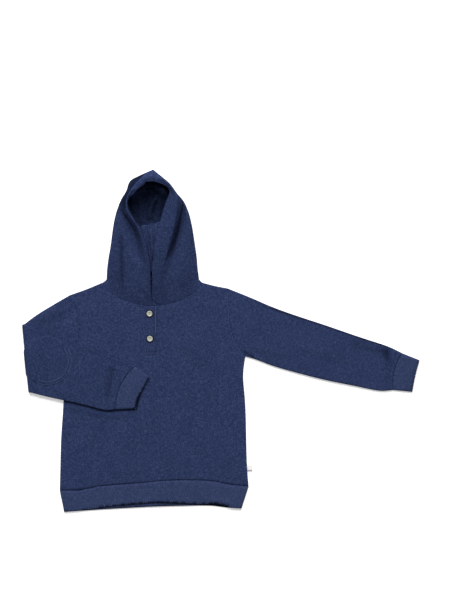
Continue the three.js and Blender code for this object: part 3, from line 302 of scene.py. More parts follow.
def knit_material(name, yarn, light, dark, marl_share, wale):
    """A marled knit finish with its own colours and sizes."""
    material, tree, shader = base_material(name, 0.95)
    place = add_node(tree, "ShaderNodeAttribute", {"attribute_name": "grain"})
    knit = add_node(tree, "ShaderNodeGroup", {"node_tree": marl})
    tree.links.new(place.outputs["Vector"], knit.inputs["Grain"])
    toned = add_node(tree, "ShaderNodeAttribute", {"attribute_name": "shade"})
    tree.links.new(toned.outputs["Fac"], knit.inputs["Shade"])
    set_inputs(knit, {"Yarn": (*yarn, 1), "Light Fibre": (*light, 1), "Dark Fibre": (*dark, 1),
                      "Marl": marl_share, "Wale": wale})
    relief = add_node(tree, "ShaderNodeBump", values=KNIT_BUMP, links={"Height": knit.outputs["Height"]})
    tree.links.new(knit.outputs["Color"], shader.inputs["Base Color"])
    tree.links.new(relief.outputs["Normal"], shader.inputs["Normal"])
    set_inputs(shader, KNIT_BLOOM)
    return material


fleece = knit_material("marled_sweatshirt_cloth", (0.0212, 0.0322, 0.0870), (0.0510, 0.0715, 0.156),
                       (0.0118, 0.0198, 0.0580), 0.66, 1.1 * MM)
rib_knit = knit_material("marled_rib", (0.0278, 0.0402, 0.0985), (0.0525, 0.0710, 0.151),
                         (0.0180, 0.0270, 0.071), 0.7, 1.7 * MM)

# %% [markdown]
# ## From a faceted solid to fine cloth
#
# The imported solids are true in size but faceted. A copy of one is welded, its triangles are paired
# back into quads, and Catmull-Clark subdivision rounds it. Edges that turn sharply, which are the cut
# edges of the cloth wall, are creased so that the wall keeps its thickness. The alternative, modelling
# each panel again from nothing, would only bring the risk that a panel leaves its place.

# %% Fine shells
WELD = 0.01 * MM
SHARP = math.radians(38)
PAIR_LIMIT = math.radians(60)


def smoothed(mesh):
    """Shades a mesh as one smooth surface."""
    for polygon in mesh.polygons:
        polygon.use_smooth = True


def baked(source, name):
    """The mesh that an object's modifiers make, as plain data."""
    bpy.context.view_layer.update()
    depsgraph = bpy.context.evaluated_depsgraph_get()
    mesh = bpy.data.meshes.new_from_object(source.evaluated_get(depsgraph))
    mesh.name = name
    return mesh


def mesh_of(work, name):
    """The mesh that a bmesh holds, which is freed."""
    mesh = bpy.data.meshes.new(name)
    work.to_mesh(mesh)
    work.free()
    return mesh


def fine_shell(node, name, levels):
    """A welded, quad-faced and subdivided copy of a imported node."""
    work = bmesh.new()
    work.from_mesh(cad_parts[node].data)
    bmesh.ops.remove_doubles(work, verts=work.verts, dist=WELD)
    bmesh.ops.join_triangles(work, faces=work.faces, angle_face_threshold=PAIR_LIMIT,
                             angle_shape_threshold=math.pi)
    crease = work.edges.layers.float.new("crease_edge")
    for edge in work.edges:
        if edge.is_manifold and edge.calc_face_angle() > SHARP:
            edge[crease] = 1.0
    source = new_object(name + "_coarse", mesh_of(work, name + "_coarse"))
    rounder = source.modifiers.new("rounded", "SUBSURF")
    rounder.levels = rounder.render_levels = levels
    mesh = baked(source, name)
    bpy.data.objects.remove(source)
    smoothed(mesh)
    return new_object(name, mesh)


def corners(piece):
    """A piece's vertices as an array of x, y, z rows."""
    flat = np.empty(len(piece.data.vertices) * 3)
    piece.data.vertices.foreach_get("co", flat)
    return flat.reshape(-1, 3)


def move_to(piece, places):
    """Puts a piece's vertices at new places, none of them below the floor."""
    places[:, 2] = np.maximum(places[:, 2], 0)
    piece.data.vertices.foreach_set("co", places.ravel())
    piece.data.update()


# %% [markdown]
# ## Creases, seams and grain
#
# Cloth that has been laid by hand keeps long, soft troughs and ridges. Each one is a row of a table:
# the path that it follows, as pixels of the photograph, its height in millimetres, which is negative
# for a trough, and how far it reaches to the left and to the right of its path. A fold seldom has two
# equal sides, and a narrow side gives the sharp edge of a shadow. Two heights limit a row to one layer
# of cloth where several lie over each other. The tables named SHADE work the same way, but they tone the
# cloth where the lamp's light would be weaker than the mesh alone shows. A seam pulls the cloth in, so a
# shallow groove follows each neighbour of a panel.

# %% Folds
ABOVE_THE_LOWER_WALL = 2.6
ABOVE_EVERYTHING = 60
Fold = namedtuple("Fold", "path height left right low high",
                  defaults=(ABOVE_THE_LOWER_WALL, ABOVE_EVERYTHING))
LAYER_RAMP = 1.2
END_SHARE = 0.22


def smooth_step(value, low, high):
    """0 below low, 1 above high, and a soft ramp between."""
    share = np.clip((value - low) / (high - low), 0, 1)
    return share * share * (3 - 2 * share)


def fold_lift(places, folds):
    """How much a table of folds lifts each place, in metres."""
    lift = np.zeros(len(places))
    heights = places[:, 2] / MM
    for fold in folds:
        path = np.array([at_pixel(*point) for point in fold.path])
        away = np.full(len(places), np.inf)
        on_left = np.zeros(len(places), bool)
        reached = np.zeros(len(places))
        walked = 0.0
        for first, second in zip(path[:-1], path[1:]):
            run = second - first
            length = math.hypot(*run)
            offset = places[:, :2] - first
            share = np.clip(offset @ run / length ** 2, 0, 1)
            gap = np.linalg.norm(offset - share[:, None] * run, axis=1)
            closer = gap < away
            away = np.where(closer, gap, away)
            on_left = np.where(closer, run[0] * offset[:, 1] > run[1] * offset[:, 0], on_left)
            reached = np.where(closer, walked + share * length, reached)
            walked += length
        width = np.where(on_left, fold.left, fold.right) * MM
        ends = smooth_step(np.minimum(reached, walked - reached), 0, END_SHARE * walked)
        layer = smooth_step(heights, fold.low, fold.low + LAYER_RAMP)
        layer *= 1 - smooth_step(heights, fold.high, fold.high + LAYER_RAMP)
        lift += fold.height * MM * np.exp(-(away / width) ** 2) * ends * layer
    return lift


# %% Seams
def search_tree(mesh):
    """A tree that finds the face of a mesh nearest to a place or below it."""
    return BVHTree.FromPolygons([v.co for v in mesh.vertices], [p.vertices for p in mesh.polygons])


def distance_to(places, node, reach):
    """Each place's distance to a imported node, or reach where it is further away."""
    tree = search_tree(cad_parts[node].data)
    found = np.full(len(places), reach)
    low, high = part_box(node)
    near = np.all((places > np.array(low) - reach) & (places < np.array(high) + reach), axis=1)
    for i in np.nonzero(near)[0]:
        hit = tree.find_nearest(Vector(places[i]), reach)
        if hit[0] is not None:
            found[i] = hit[3]
    return found


SEAM_REACH = 9 * MM
HEM_GROOVE = (0.6 * MM, 1.6 * MM)
ARMHOLE_GROOVE = (0.25 * MM, 1.2 * MM)
NECK_GROOVE = (0.5 * MM, 1.2 * MM)
LEFT_CUFF_GROOVE = (1.5 * MM, 1.8 * MM)
RIGHT_CUFF_GROOVE = (1.8 * MM, 1.8 * MM)


def seam_groove(places, neighbours, groove_size):
    """How far the cloth is drawn down beside its seams, for a groove of that depth and width."""
    depth, width = groove_size
    groove = np.zeros(len(places))
    for node in neighbours:
        away = distance_to(places, node, SEAM_REACH)
        groove = np.maximum(groove, depth * np.exp(-(away / width) ** 2))
    return groove


SEAM_DRAW = 1.5 * MM
SEAM_CLOSE = 0.7 * MM
SEAM_LAP = 0.2 * MM
UPRIGHT_GAP = 2


def draw_seams(places, neighbours):
    """Draws the edges of a panel to its neighbours and a hair past them, so that no floor shows between."""
    for node in neighbours:
        tree = search_tree(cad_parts[node].data)
        low, high = (np.array(corner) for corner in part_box(node))
        near = np.all((places > low - SEAM_DRAW) & (places < high + SEAM_DRAW), axis=1)
        for i in np.nonzero(near)[0]:
            hit = tree.find_nearest(Vector(places[i]), SEAM_DRAW)
            if hit[0] is None or hit[3] < WELD:
                continue
            gap = np.array(hit[0]) - places[i]
            if math.hypot(gap[0], gap[1]) > UPRIGHT_GAP * abs(gap[2]):
                pull = 1 - smooth_step(hit[3], SEAM_CLOSE, SEAM_DRAW)
                places[i] += pull * gap * (1 + SEAM_LAP / hit[3])


# %% Grain, shade and dressing
DOWN_THE_BODY = 90
LEFT_ARM_TURN = -17
RIGHT_ARM_TURN = 17


def set_grain(piece, turn):
    """The place on the cloth, across and along its wales, for wales that run turn degrees from +X."""
    places = corners(piece)
    angle = math.radians(turn)
    along = places[:, 0] * math.cos(angle) + places[:, 1] * math.sin(angle)
    across = places[:, 0] * math.sin(angle) - places[:, 1] * math.cos(angle)
    grain_places = np.stack([across, along, places[:, 2]], axis=1)
    attribute = piece.data.attributes.new("grain", "FLOAT_VECTOR", "POINT")
    attribute.data.foreach_set("vector", grain_places.ravel())


def set_shade(piece, share):
    """Marks the painted shade at each place: 1 on the lining, and less in fine creases."""
    attribute = piece.data.attributes.new("shade", "FLOAT", "POINT")
    attribute.data.foreach_set("value", np.clip(share, 0, 1))


def shaded(places, folds):
    """The shade of a table of creases, whose heights are shares. A share below 0 lightens."""
    return fold_lift(places, folds) / MM


SHARP_SHADING = math.radians(48)


def dress(piece, material, node):
    """Gives a piece its finish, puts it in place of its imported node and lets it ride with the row."""
    piece.data.materials.clear()
    piece.data.materials.append(material)
    piece.data.set_sharp_from_angle(angle=SHARP_SHADING)
    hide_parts(node)
    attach(piece, "root")
    print(piece.name, len(piece.data.polygons), "faces")


def finish_cloth(piece, places, turn, shade, material, node):
    """Moves a piece to its places, marks its grain and its shade, and dresses it."""
    move_to(piece, places)
    set_grain(piece, turn)
    if shade is not None:
        set_shade(piece, shade)
    dress(piece, material, node)


# %% [markdown]
# ## The body
#
# Front and back lie on each other, joined at the folded sides and shoulders. The front carries a few
# broad, low swells, and it puffs out a little above the tight band. The back lies hidden and flat on
# the floor, so it only needs its rounded sides.

# %% Back and front
body_back = fine_shell("body_back", "back_panel", 2)
places = corners(body_back)
draw_seams(places, ["sleeve_left", "sleeve_right", "hem_band"])
finish_cloth(body_back, places, DOWN_THE_BODY, None, fleece, "body_back")

FRONT_FOLDS = [
    Fold([(198, 334), (218, 316)], 0.8, 7, 7),
    Fold([(108, 322), (132, 302)], 0.6, 9, 9),
    Fold([(180, 343), (212, 361)], 0.7, 12, 12),
    Fold([(226, 342), (234, 318)], -0.7, 6, 6),
    Fold([(244, 350), (254, 357)], -1.2, 4, 4),
    Fold([(110, 445), (114, 478)], 0.7, 10, 10),
    Fold([(172, 432), (170, 478)], 0.8, 12, 12),
    Fold([(214, 430), (216, 478)], 0.8, 9, 9),
    Fold([(238, 438), (240, 480)], 0.7, 6, 6),
    Fold([(60, 403), (85, 409), (100, 413), (112, 415), (142, 412)], 2.0, 5, 5),
]
FRONT_SHADE = [
    Fold([(157.6, 300), (157.8, 318), (157.8, 338)], 0.4, 1.1, 1.1),
    Fold([(76, 300), (78, 312), (77, 322)], 0.3, 1.1, 1.1),
    Fold([(215, 300), (222, 330), (236, 350)], 0.12, 9, 9),
]
body_front = fine_shell("body_front", "front_panel", 3)
places = corners(body_front)
draw_seams(places, ["sleeve_left", "sleeve_right", "hem_band", "hood_left", "hood_right"])
places[:, 2] += fold_lift(places, FRONT_FOLDS)
places[:, 2] -= seam_groove(places, ["hem_band"], HEM_GROOVE)
places[:, 2] -= seam_groove(places, ["sleeve_left"], ARMHOLE_GROOVE)
finish_cloth(body_front, places, DOWN_THE_BODY, shaded(places, FRONT_SHADE), fleece, "body_front")

# %% [markdown]
# ## The sleeves
#
# The left sleeve is a tube that lies stretched out. The right one is bent back at the elbow, so its
# forearm rests on the front. Only the upper wall of a laid tube shows its creases: the lower wall is
# pressed flat by what it lies on, so each move is weighted by how high a place is in its tube.


# %% Sleeves
def upper_share(places, low, high):
    """1 on the upper wall of a laid tube and 0 on the lower one, with a ramp between two heights."""
    return smooth_step(places[:, 2], low * MM, high * MM)


LONG_SLEEVE_WALL = (2.2, 3.6)
LONG_SLEEVE_FOLDS = [
    Fold([(228, 305), (258, 332)], 0.7, 6, 6),
    Fold([(246, 345), (290, 356)], 0.8, 6, 6),
    Fold([(296, 345), (342, 360)], 0.8, 8, 8),
    Fold([(338, 352), (346, 374)], -0.6, 6, 6),
    Fold([(356, 344), (378, 350)], 0.8, 3, 5),
    Fold([(386, 354), (389, 364), (387, 376)], -1.8, 6, 8),
    Fold([(380, 379), (390, 381)], 0.6, 3, 3),
    Fold([(392, 352), (397, 354)], 0.7, 4, 4),
]
LONG_SLEEVE_SHADE = [
    Fold([(246, 299), (271, 308), (317, 322.5), (358, 336.5), (398, 349), (410, 353)], 0.75, 3, 3.4, -2, 60),
    Fold([(345, 340), (372, 348), (396, 355)], 0.36, 8, 8),
    Fold([(384, 342), (389, 364), (386, 388)], 0.4, 6, 9),
    Fold([(242, 350), (249, 354.5), (256, 359)], 0.9, 1.6, 1.6, -2, 60),
]
sleeve_left = fine_shell("sleeve_left", "stretched_sleeve", 3)
places = corners(sleeve_left)
draw_seams(places, ["body_front", "body_back", "cuff_left"])
drop = np.maximum(seam_groove(places, ["body_front"], ARMHOLE_GROOVE),
                  seam_groove(places, ["cuff_left"], LEFT_CUFF_GROOVE))
places[:, 2] += (fold_lift(places, LONG_SLEEVE_FOLDS) - drop) * upper_share(places, *LONG_SLEEVE_WALL)
sleeve_shade = shaded(places, LONG_SLEEVE_SHADE)
finish_cloth(sleeve_left, places, LEFT_ARM_TURN, sleeve_shade, fleece, "sleeve_left")

FOREARM_FOLDS = [
    Fold([(113, 366), (111, 380), (109, 392), (108, 404)], -1.5, 5, 7),
    Fold([(120, 368), (117, 382), (114, 400)], 0.9, 4, 4),
    Fold([(98, 378), (96, 400)], 0.6, 4, 4),
    Fold([(30, 328), (46, 333), (60, 337)], 0.9, 3, 5),
    Fold([(52, 389), (82, 396)], 0.6, 5, 5),
    Fold([(104, 363), (124, 371)], 0.8, 2.5, 5),
]
FOREARM_WALL = (7.4, 9.2)
UPPER_ARM_WALL = (2.4, 3.6)
ABOVE_THE_UPPER_ARM = (5.0, 5.6)
ABOVE_THE_FOLD = (5.6, 7.0)
FOREARM_TONE = 0.14
FOREARM_SHADE = [
    Fold([(36, 330), (60, 339.5), (84, 349), (105, 356.5), (126, 364), (146, 371)], 0.33, 1.8, 1.3, 5.5, 60),
    Fold([(113, 362), (111, 380), (109, 392), (108, 408)], 0.28, 5, 7, 7, 60),
]
UPPER_ARM_SHADE = [
    Fold([(34, 325), (50, 319), (70, 311)], 0.34, 9, 9),
    Fold([(76, 302), (78, 312), (77, 322)], 0.3, 1.1, 1.1),
]
UPPER_ARM_FOLDS = [
    Fold([(30, 322), (62, 306)], 0.7, 6, 10),
    Fold([(76, 302), (70, 318), (64, 326)], -1.2, 7, 9),
    Fold([(82, 300), (80, 322)], 0.8, 3, 3),
]
sleeve_right = fine_shell("sleeve_right", "folded_sleeve", 3)
places = corners(sleeve_right)
on_forearm = upper_share(places, *FOREARM_WALL)
on_upper_arm = upper_share(places, *UPPER_ARM_WALL) * (1 - upper_share(places, *ABOVE_THE_UPPER_ARM))
draw_seams(places, ["body_front", "body_back", "cuff_right"])
drop = seam_groove(places, ["cuff_right"], RIGHT_CUFF_GROOVE)
places[:, 2] += (fold_lift(places, FOREARM_FOLDS) - drop) * on_forearm
places[:, 2] += fold_lift(places, UPPER_ARM_FOLDS) * on_upper_arm
sleeve_shade = (FOREARM_TONE + shaded(places, FOREARM_SHADE)) * upper_share(places, *ABOVE_THE_FOLD)
sleeve_shade += shaded(places, UPPER_ARM_SHADE) * on_upper_arm
finish_cloth(sleeve_right, places, RIGHT_ARM_TURN, sleeve_shade, fleece, "sleeve_right")

# %% [markdown]
# ## Cuffs and band
#
# Rib is knitted so that columns of loops stand up beside columns that fall back, which lets it stretch
# and close round the wrist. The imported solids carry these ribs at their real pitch, so subdivision
# alone rounds each one, and only the grain has to run along the arm or down the body.

# %% Cuffs
cuff_left = fine_shell("cuff_left", "stretched_cuff", 2)
places = corners(cuff_left)
draw_seams(places, ["sleeve_left"])
finish_cloth(cuff_left, places, LEFT_ARM_TURN, None, rib_knit, "cuff_left")

# The folded sleeve's cuff gapes at its lower corner: its upper wall is drawn back from the lower one
CUFF_END = [(145, 376), (134.5, 408.5)]
GAPE = 2.4 * PIXEL
GAPE_DEPTH = 14 * MM
GAPE_FROM, GAPE_TO = 0.3, 0.75
UPPER_CUFF_WALL = (7.6, 8.4)
MOUTH_DEPTH = (4 * MM, 9 * MM)
cuff_right = fine_shell("cuff_right", "folded_cuff", 3)
places = corners(cuff_right)
draw_seams(places, ["sleeve_right"])
(top_x, top_y), (foot_x, foot_y) = (at_pixel(*point) for point in CUFF_END)
down = (top_y - places[:, 1]) / (top_y - foot_y)
from_end = top_x + (foot_x - top_x) * down - places[:, 0]
upper_wall = upper_share(places, *UPPER_CUFF_WALL)
gape = smooth_step(down, GAPE_FROM, GAPE_TO) * (1 - smooth_step(from_end, 0, GAPE_DEPTH)) * upper_wall
places[:, 0] -= GAPE * gape
# Painted shade: the lower wall inside the gaping mouth is darkened, since little light gets in
mouth_shade = (1 - upper_wall) * (1 - smooth_step(from_end, *MOUTH_DEPTH))
finish_cloth(cuff_right, places, RIGHT_ARM_TURN, mouth_shade, rib_knit, "cuff_right")

# %% Hem band
BAND_FOLDS = [
    Fold([(70, 509), (100, 507.5), (150, 505.5), (185, 504.5), (206, 504.5)], 1.4, 3.5, 3.5, -2, 2.4),
    Fold([(206, 500), (222, 501), (238, 505)], 1.2, 5, 5, 3.0, 60),
    Fold([(172, 480), (172, 500)], -0.5, 2.0, 2.0, 3.0, 60),
    Fold([(200, 484), (202, 500)], 0.5, 4.0, 4.0, 3.0, 60),
    Fold([(110, 490), (112, 504)], 0.5, 5.0, 5.0, 3.0, 60),
]
BAND_SHADE = [
    Fold([(90, 506.6), (140, 503.6), (162, 502.2), (199, 502.8), (216, 503.2), (246, 508)],
         0.75, 1.3, 1.0, -2, 60),
    Fold([(225, 487), (212, 498)], 0.16, 5, 5),
    Fold([(120, 487), (132, 500)], 0.14, 7, 7),
]
# Towards one side seam the band's two walls stand apart, and the lower one lies in the dark
GAP_FROM, GAP_TO = (198, 500), (212, 500)
GAP_TOP = 2.6 * MM
GAP_SHADE = 0.9
hem_band = fine_shell("hem_band", "hem_band_rib", 3)
places = corners(hem_band)
draw_seams(places, ["body_front", "body_back"])
places[:, 2] += fold_lift(places, BAND_FOLDS)
band_shade = GAP_SHADE * smooth_step(places[:, 0], at_pixel(*GAP_FROM)[0], at_pixel(*GAP_TO)[0])
band_shade = band_shade * (places[:, 2] < GAP_TOP) + shaded(places, BAND_SHADE)
finish_cloth(hem_band, places, DOWN_THE_BODY, band_shade, rib_knit, "hem_band")

# %% [markdown]
# ## The hood
#
# Two panels meet in a seam that runs from the forehead over the crown and down the back. The hood lies
# open: its front edges roll outwards into crests, with a deep valley behind each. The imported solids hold
# the big forms, and the table below sharpens them: beads along the rolled edge, narrow valleys, a facet
# beside the forehead, and the folds of the lining that show inside.

# %% Hood folds
LEFT_BEAD = [(153, 171), (147, 174), (140.8, 180.4), (135.8, 185.7), (132, 191), (128.6, 197), (127, 203.5),
             (128, 211), (132, 218), (138, 226.5), (143, 236), (146, 247), (149, 258), (150.5, 270)]
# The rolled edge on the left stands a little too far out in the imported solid, and these rows draw it in
RIM_PUSH = [
    Fold([(147, 176), (140, 180), (134, 185.5), (130, 190), (127, 196), (125.6, 202), (126, 209), (130, 217),
          (137, 227)], 3.8, 13, 6, -5, 60),
    Fold([(144, 178), (138, 182), (132, 188), (128.5, 194), (126, 201)], 2.6, 13, 6, -5, 60),
    Fold([(145, 179.5), (139.5, 182), (134, 187.5), (131, 192), (129, 198)], 3.0, 12, 5, -5, 60),
]
PUSH_TO = (0.95, -0.31)
HOOD_LEFT_FOLDS = [
    Fold(LEFT_BEAD, 2.2, 1.6, 2.0, 19, 60),
    Fold([(151, 170), (140, 177), (133, 183), (127, 192), (122, 202)], -4.0, 3, 7, 5, 60),
    Fold([(119, 200), (124, 214), (131, 227), (136, 242), (138, 258), (140, 270)], -2.0, 4.5, 5, 6, 25),
    Fold([(123, 240), (123.5, 265), (124, 288)], -1.8, 5, 4),
    Fold([(107, 260), (114, 277)], -1.0, 1.6, 1.6),
    Fold([(131, 262), (146, 268)], 0.8, 5, 5),
    Fold([(145, 288), (148, 295), (151, 303)], 0.9, 1.6, 1.6),
    Fold([(141, 290), (144, 297), (148, 303)], -0.7, 1.6, 1.6),
]
HOOD_RIGHT_FOLDS = [
    Fold([(178, 187), (178, 205), (176, 220), (173, 233), (169.5, 245), (166, 256)], 1.5, 2.2, 7, 15, 60),
    Fold([(185, 199), (182.5, 215), (179, 230), (175, 242), (170, 253), (164, 266)], -4.0, 5, 5, 6, 25),
    Fold([(151, 295), (152.5, 301), (156, 304.2), (162, 305.4)], -1.0, 1.5, 1.5),
    Fold([(166, 270), (165, 284)], -0.8, 5, 5),
    Fold([(158, 171), (165, 178), (172, 187)], 0.8, 3, 3, 20, 60),
]
# The first value darkens all of the hood's cloth a little; the second is painted shade on the lining inside
# the opening, where little light reaches
HOOD_TONE = 0.2
LINING_PAINTED_SHADE = 0.64
HOOD_SHADE = [
    Fold([(157, 165), (146, 172.4), (139.9, 178.9), (134.8, 184.2), (131, 189.5), (127.4, 195.5),
          (125.4, 202), (125.8, 209), (128, 215)], 0.8, 1.8, 11),
    Fold(LEFT_BEAD, -0.7, 2.0, 1.3, 19, 60),
    Fold([(182, 190), (181, 203), (179.5, 215), (176, 231), (171.5, 246), (166, 262)], 0.30, 8, 5.5),
    Fold([(120.5, 226), (122, 250), (122.5, 272), (123, 294)], 0.36, 4, 6),
    Fold([(190, 222), (193, 250), (195, 275)], 0.12, 7, 7),
    Fold([(142, 180.0), (150, 178.6), (158, 178.6), (166, 181.5)], 0.3, 0.9, 0.9, 20, 60),
    Fold([(143, 175), (150, 176.5), (163, 176)], -0.8, 12, 12, 20, 60),
    Fold([(126, 206), (132, 194), (142, 186), (158, 186), (169, 190), (172, 202)], -0.8, 10, 10, -5, 22),
    Fold([(144, 190), (152, 188.5), (160, 194)], 0.9, 3, 3, -5, 20),
    Fold([(149.5, 190), (147, 199), (149, 208)], 0.7, 3, 4, -5, 20),
]
LINING_FOLDS = [
    Fold([(157, 187), (166, 190), (169, 199), (167, 209)], 6.0, 8, 8, 0, 12),
    Fold([(131, 206), (135, 193), (148, 188), (163, 189), (168, 200)], 10.0, 11, 11, 0, 12),
    Fold([(141, 193), (141.5, 210), (143, 226)], 4.0, 2.5, 6, 0, 12),
    Fold([(159, 196), (153, 202), (149, 213), (149, 222)], 8.0, 6, 3.5, 0, 12),
    Fold([(163, 190), (160, 205), (158, 220)], 4.5, 3, 3, 0, 12),
    Fold([(133, 192), (132, 204), (135, 214)], 3.5, 4, 4, 0, 12),
]

# %% [markdown]
# The lining shows only through the opening and below its rolled edge, and little light reaches it, so
# it gets painted shade in the attribute "shade". The deep folds on both sides of the rolled edges, where
# hardly any light falls, get painted shade too, and so does the flap that turns away at the upper left.
# Rows with a share below 0 paint light back onto the rolled edge, the forehead and the upper lining.
# The two panels also stand a hair apart at the centre seam, and they are drawn together there.

# %% Hood panels
OPENING = [(142, 182), (150, 181), (161, 182), (168, 188), (170, 197), (166, 207), (162, 219), (158, 238),
           (153, 262), (148, 250), (145, 240), (141, 229), (135, 221), (131, 212), (129.5, 204), (133, 193)]
SEAM_X = at_pixel(153.5, 0)[0]
SEAM_PULL = 0.4 * MM
LINING_TOP = (20 * MM, 27 * MM)


def within(places, outline):
    """Which places lie inside an outline given as pixels of the photograph."""
    corners_xy = np.array([at_pixel(*point) for point in outline])
    x, y = places[:, 0], places[:, 1]
    inside = np.zeros(len(places), bool)
    for (ax, ay), (bx, by) in zip(corners_xy, np.roll(corners_xy, -1, axis=0)):
        crosses = (ay > y) != (by > y)
        inside ^= crosses & (x < (bx - ax) * (y - ay) / (by - ay if by != ay else 1) + ax)
    return inside


for node, name, folds in (("hood_left", "hood_panel_left", HOOD_LEFT_FOLDS),
                          ("hood_right", "hood_panel_right", HOOD_RIGHT_FOLDS)):
    panel = fine_shell(node, name, 3)
    places = corners(panel)
    places[:, :2] += fold_lift(places, RIM_PUSH)[:, None] * np.array(PUSH_TO)
    places[:, 2] += fold_lift(places, folds) + fold_lift(places, LINING_FOLDS)
    places[:, 2] -= seam_groove(places, ["body_front"], NECK_GROOVE)
    draw_seams(places, ["body_front", "body_back"])
    near_seam = np.abs(places[:, 0] - SEAM_X) < SEAM_PULL
    places[near_seam, 0] = SEAM_X
    # Painted shade: the lining seen through the opening, plus the hood's rows of painted shade and light
    lining = within(places, OPENING) * (1 - smooth_step(places[:, 2], *LINING_TOP))
    hood_shade = HOOD_TONE + LINING_PAINTED_SHADE * lining + shaded(places, HOOD_SHADE)
    finish_cloth(panel, places, DOWN_THE_BODY, hood_shade, fleece, node)

# %% [markdown]
# ## The bunched cloth at the nape
#
# Between the rolled edges a strip of the outer cloth shows, bunched into upright creases, with its top
# edge standing clear of the lining, which lies in shadow and is darkened further with painted shade. It
# is a grid between the two edges, laid a little above the panels, with a ridge for each crease, and
# Solidify gives it the thickness of the cloth.


# %% Nape strip
NAPE_LEFT = [(140.5, 226.5), (143.5, 240), (147, 255), (151, 272)]
NAPE_RIGHT = [(161.5, 222), (159, 239), (156.5, 255), (155, 272)]
NAPE_ROWS, NAPE_COLUMNS = 44, 60
NAPE_HEIGHTS = [20.6, 21.2, 19.6, 17.0, 14.2, 12.0]
# Each ridge's place and width, as shares of the way across
NAPE_RIDGES = [(0.08, 0.06), (0.27, 0.05), (0.42, 0.035), (0.63, 0.06), (0.86, 0.05)]
NAPE_RIDGE_HEIGHT = 3.0
NAPE_RIDGE_SWAY = 0.03
NAPE_SWAY_TURN, NAPE_SWAY_STEP = 5, 9
NAPE_EDGE_WAVE = 0.5
NAPE_EDGE_WAVES = 3
NAPE_EDGE_START = 1.0
CLOTH = 1.2 * MM


def along_list(share, values):
    """The value at a share of the way along a list."""
    return np.interp(share * (len(values) - 1), range(len(values)), values)


nape_points = []
for row in range(NAPE_ROWS):
    v = row / (NAPE_ROWS - 1)
    left_x, left_y = (along_list(v, [point[axis] for point in NAPE_LEFT]) for axis in (0, 1))
    right_x, right_y = (along_list(v, [point[axis] for point in NAPE_RIGHT]) for axis in (0, 1))
    base = along_list(v, NAPE_HEIGHTS)
    for column in range(NAPE_COLUMNS):
        u = column / (NAPE_COLUMNS - 1)
        ridge = 0
        for at, width in NAPE_RIDGES:
            sway = NAPE_RIDGE_SWAY * math.sin(NAPE_SWAY_TURN * v + NAPE_SWAY_STEP * at)
            ridge += math.exp(-((u - at - sway) / width) ** 2)
        wave = NAPE_EDGE_WAVE * math.sin(2 * math.pi * NAPE_EDGE_WAVES * u + NAPE_EDGE_START) * (1 - v)
        x, y = at_pixel(left_x + (right_x - left_x) * u, left_y + (right_y - left_y) * u + wave)
        nape_points.append((x, y, (base + NAPE_RIDGE_HEIGHT * (ridge - 0.5) * (1 - 0.5 * v)) * MM))
nape_faces = []
for row in range(NAPE_ROWS - 1):
    for first in range(row * NAPE_COLUMNS, (row + 1) * NAPE_COLUMNS - 1):
        nape_faces.append((first, first + NAPE_COLUMNS, first + NAPE_COLUMNS + 1, first + 1))
nape_mesh = bpy.data.meshes.new("nape_strip")
nape_mesh.from_pydata(nape_points, [], nape_faces)
nape_source = new_object("nape_strip_source", nape_mesh)
thickness = nape_source.modifiers.new("cloth", "SOLIDIFY")
thickness.thickness = CLOTH
thickness.offset = -1
nape_strip = new_object("nape_strip", baked(nape_source, "nape_strip"))
bpy.data.objects.remove(nape_source)
smoothed(nape_strip.data)
set_grain(nape_strip, DOWN_THE_BODY)
nape_strip.data.materials.append(fleece)
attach(nape_strip, "root")
print(nape_strip.name, len(nape_strip.data.polygons), "faces")

# %% [markdown]
# ## Placket and patch
#
# The slit in the front is filled by an under strip and covered by an upper strip. The upper strip is
# sewn down at its left side and its foot, so it is pressed flat there, and its right edge is free and
# stands up a little. The elbow patch is a round of the same cloth, sewn on over the fold of the sleeve.

# %% Placket strips
PLACKET_CORNER = (142.6, 354.5)
PLACKET_FOLDS = [
    Fold([(155.3, 300), (155.3, 345), (156, 358)], 0.6, 1.4, 1.4, 0, 60),
    Fold([(153.4, 302), (153.4, 350)], -0.6, 1.1, 1.1, 0, 60),
]
PLACKET_SHADE = [
    Fold([(154.3, 300), (154.3, 345)], 0.4, 1.0, 1.0, 0, 60),
]
# A ring of painted shadow lies on the cloth round each button: radius and width in millimetres
BUTTON_RING = 6.1
BUTTON_RING_WIDTH = 1.2
BUTTON_RING_SHADE = 1.2
PRESSED_WIDTH = 5.0 * MM
PRESSED_THICKNESS = 0.2
BELOW_STRIP = 0.1 * MM


def pressed_down(places, floor_height):
    """Presses the sewn edges of the upper strip down to the front."""
    left_x, foot_y = at_pixel(*PLACKET_CORNER)
    nearest = np.minimum(places[:, 0] - left_x, places[:, 1] - foot_y)
    share = (1 - PRESSED_THICKNESS) * np.exp(-(np.maximum(nearest, 0) / PRESSED_WIDTH) ** 2)
    places[:, 2] -= (places[:, 2] - floor_height) * share


for node, name, flat, area in (("placket_under", "placket_under_strip", (0.022, 0.086), 0.00185),
                               ("placket_top", "placket_top_strip", (0.024, 0.088), 0.00207)):
    strip = fine_shell(node, name, 4)
    if node == "placket_top":
        places = corners(strip)
        places[:, 2] += fold_lift(places, PLACKET_FOLDS)
        pressed_down(places, places[:, 2].min() - BELOW_STRIP)
        move_to(strip, places)
        ring_shade = np.zeros(len(places))
        for button_node in ("button_upper", "button_lower"):
            low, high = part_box(button_node)
            away = np.hypot(places[:, 0] - (low[0] + high[0]) / 2, places[:, 1] - (low[1] + high[1]) / 2) / MM
            ring_shade += BUTTON_RING_SHADE * np.exp(-((away - BUTTON_RING) / BUTTON_RING_WIDTH) ** 2)
        set_shade(strip, shaded(places, PLACKET_SHADE) + ring_shade)
    set_grain(strip, DOWN_THE_BODY)
    dress(strip, fleece, node)
placket = strip

# %% Elbow patch
PATCH_RIM = 3.5 * MM
PATCH_PRESSED = 0.45
PATCH_RIM_PRESSED = 0.92
PATCH_LIFT = 3 * MM
PATCH_UPPER_WALL = 8 * MM
PATCH_TONE = 0.2
PATCH_TURNS = 96
LOOK_DOWN_FROM = 0.2


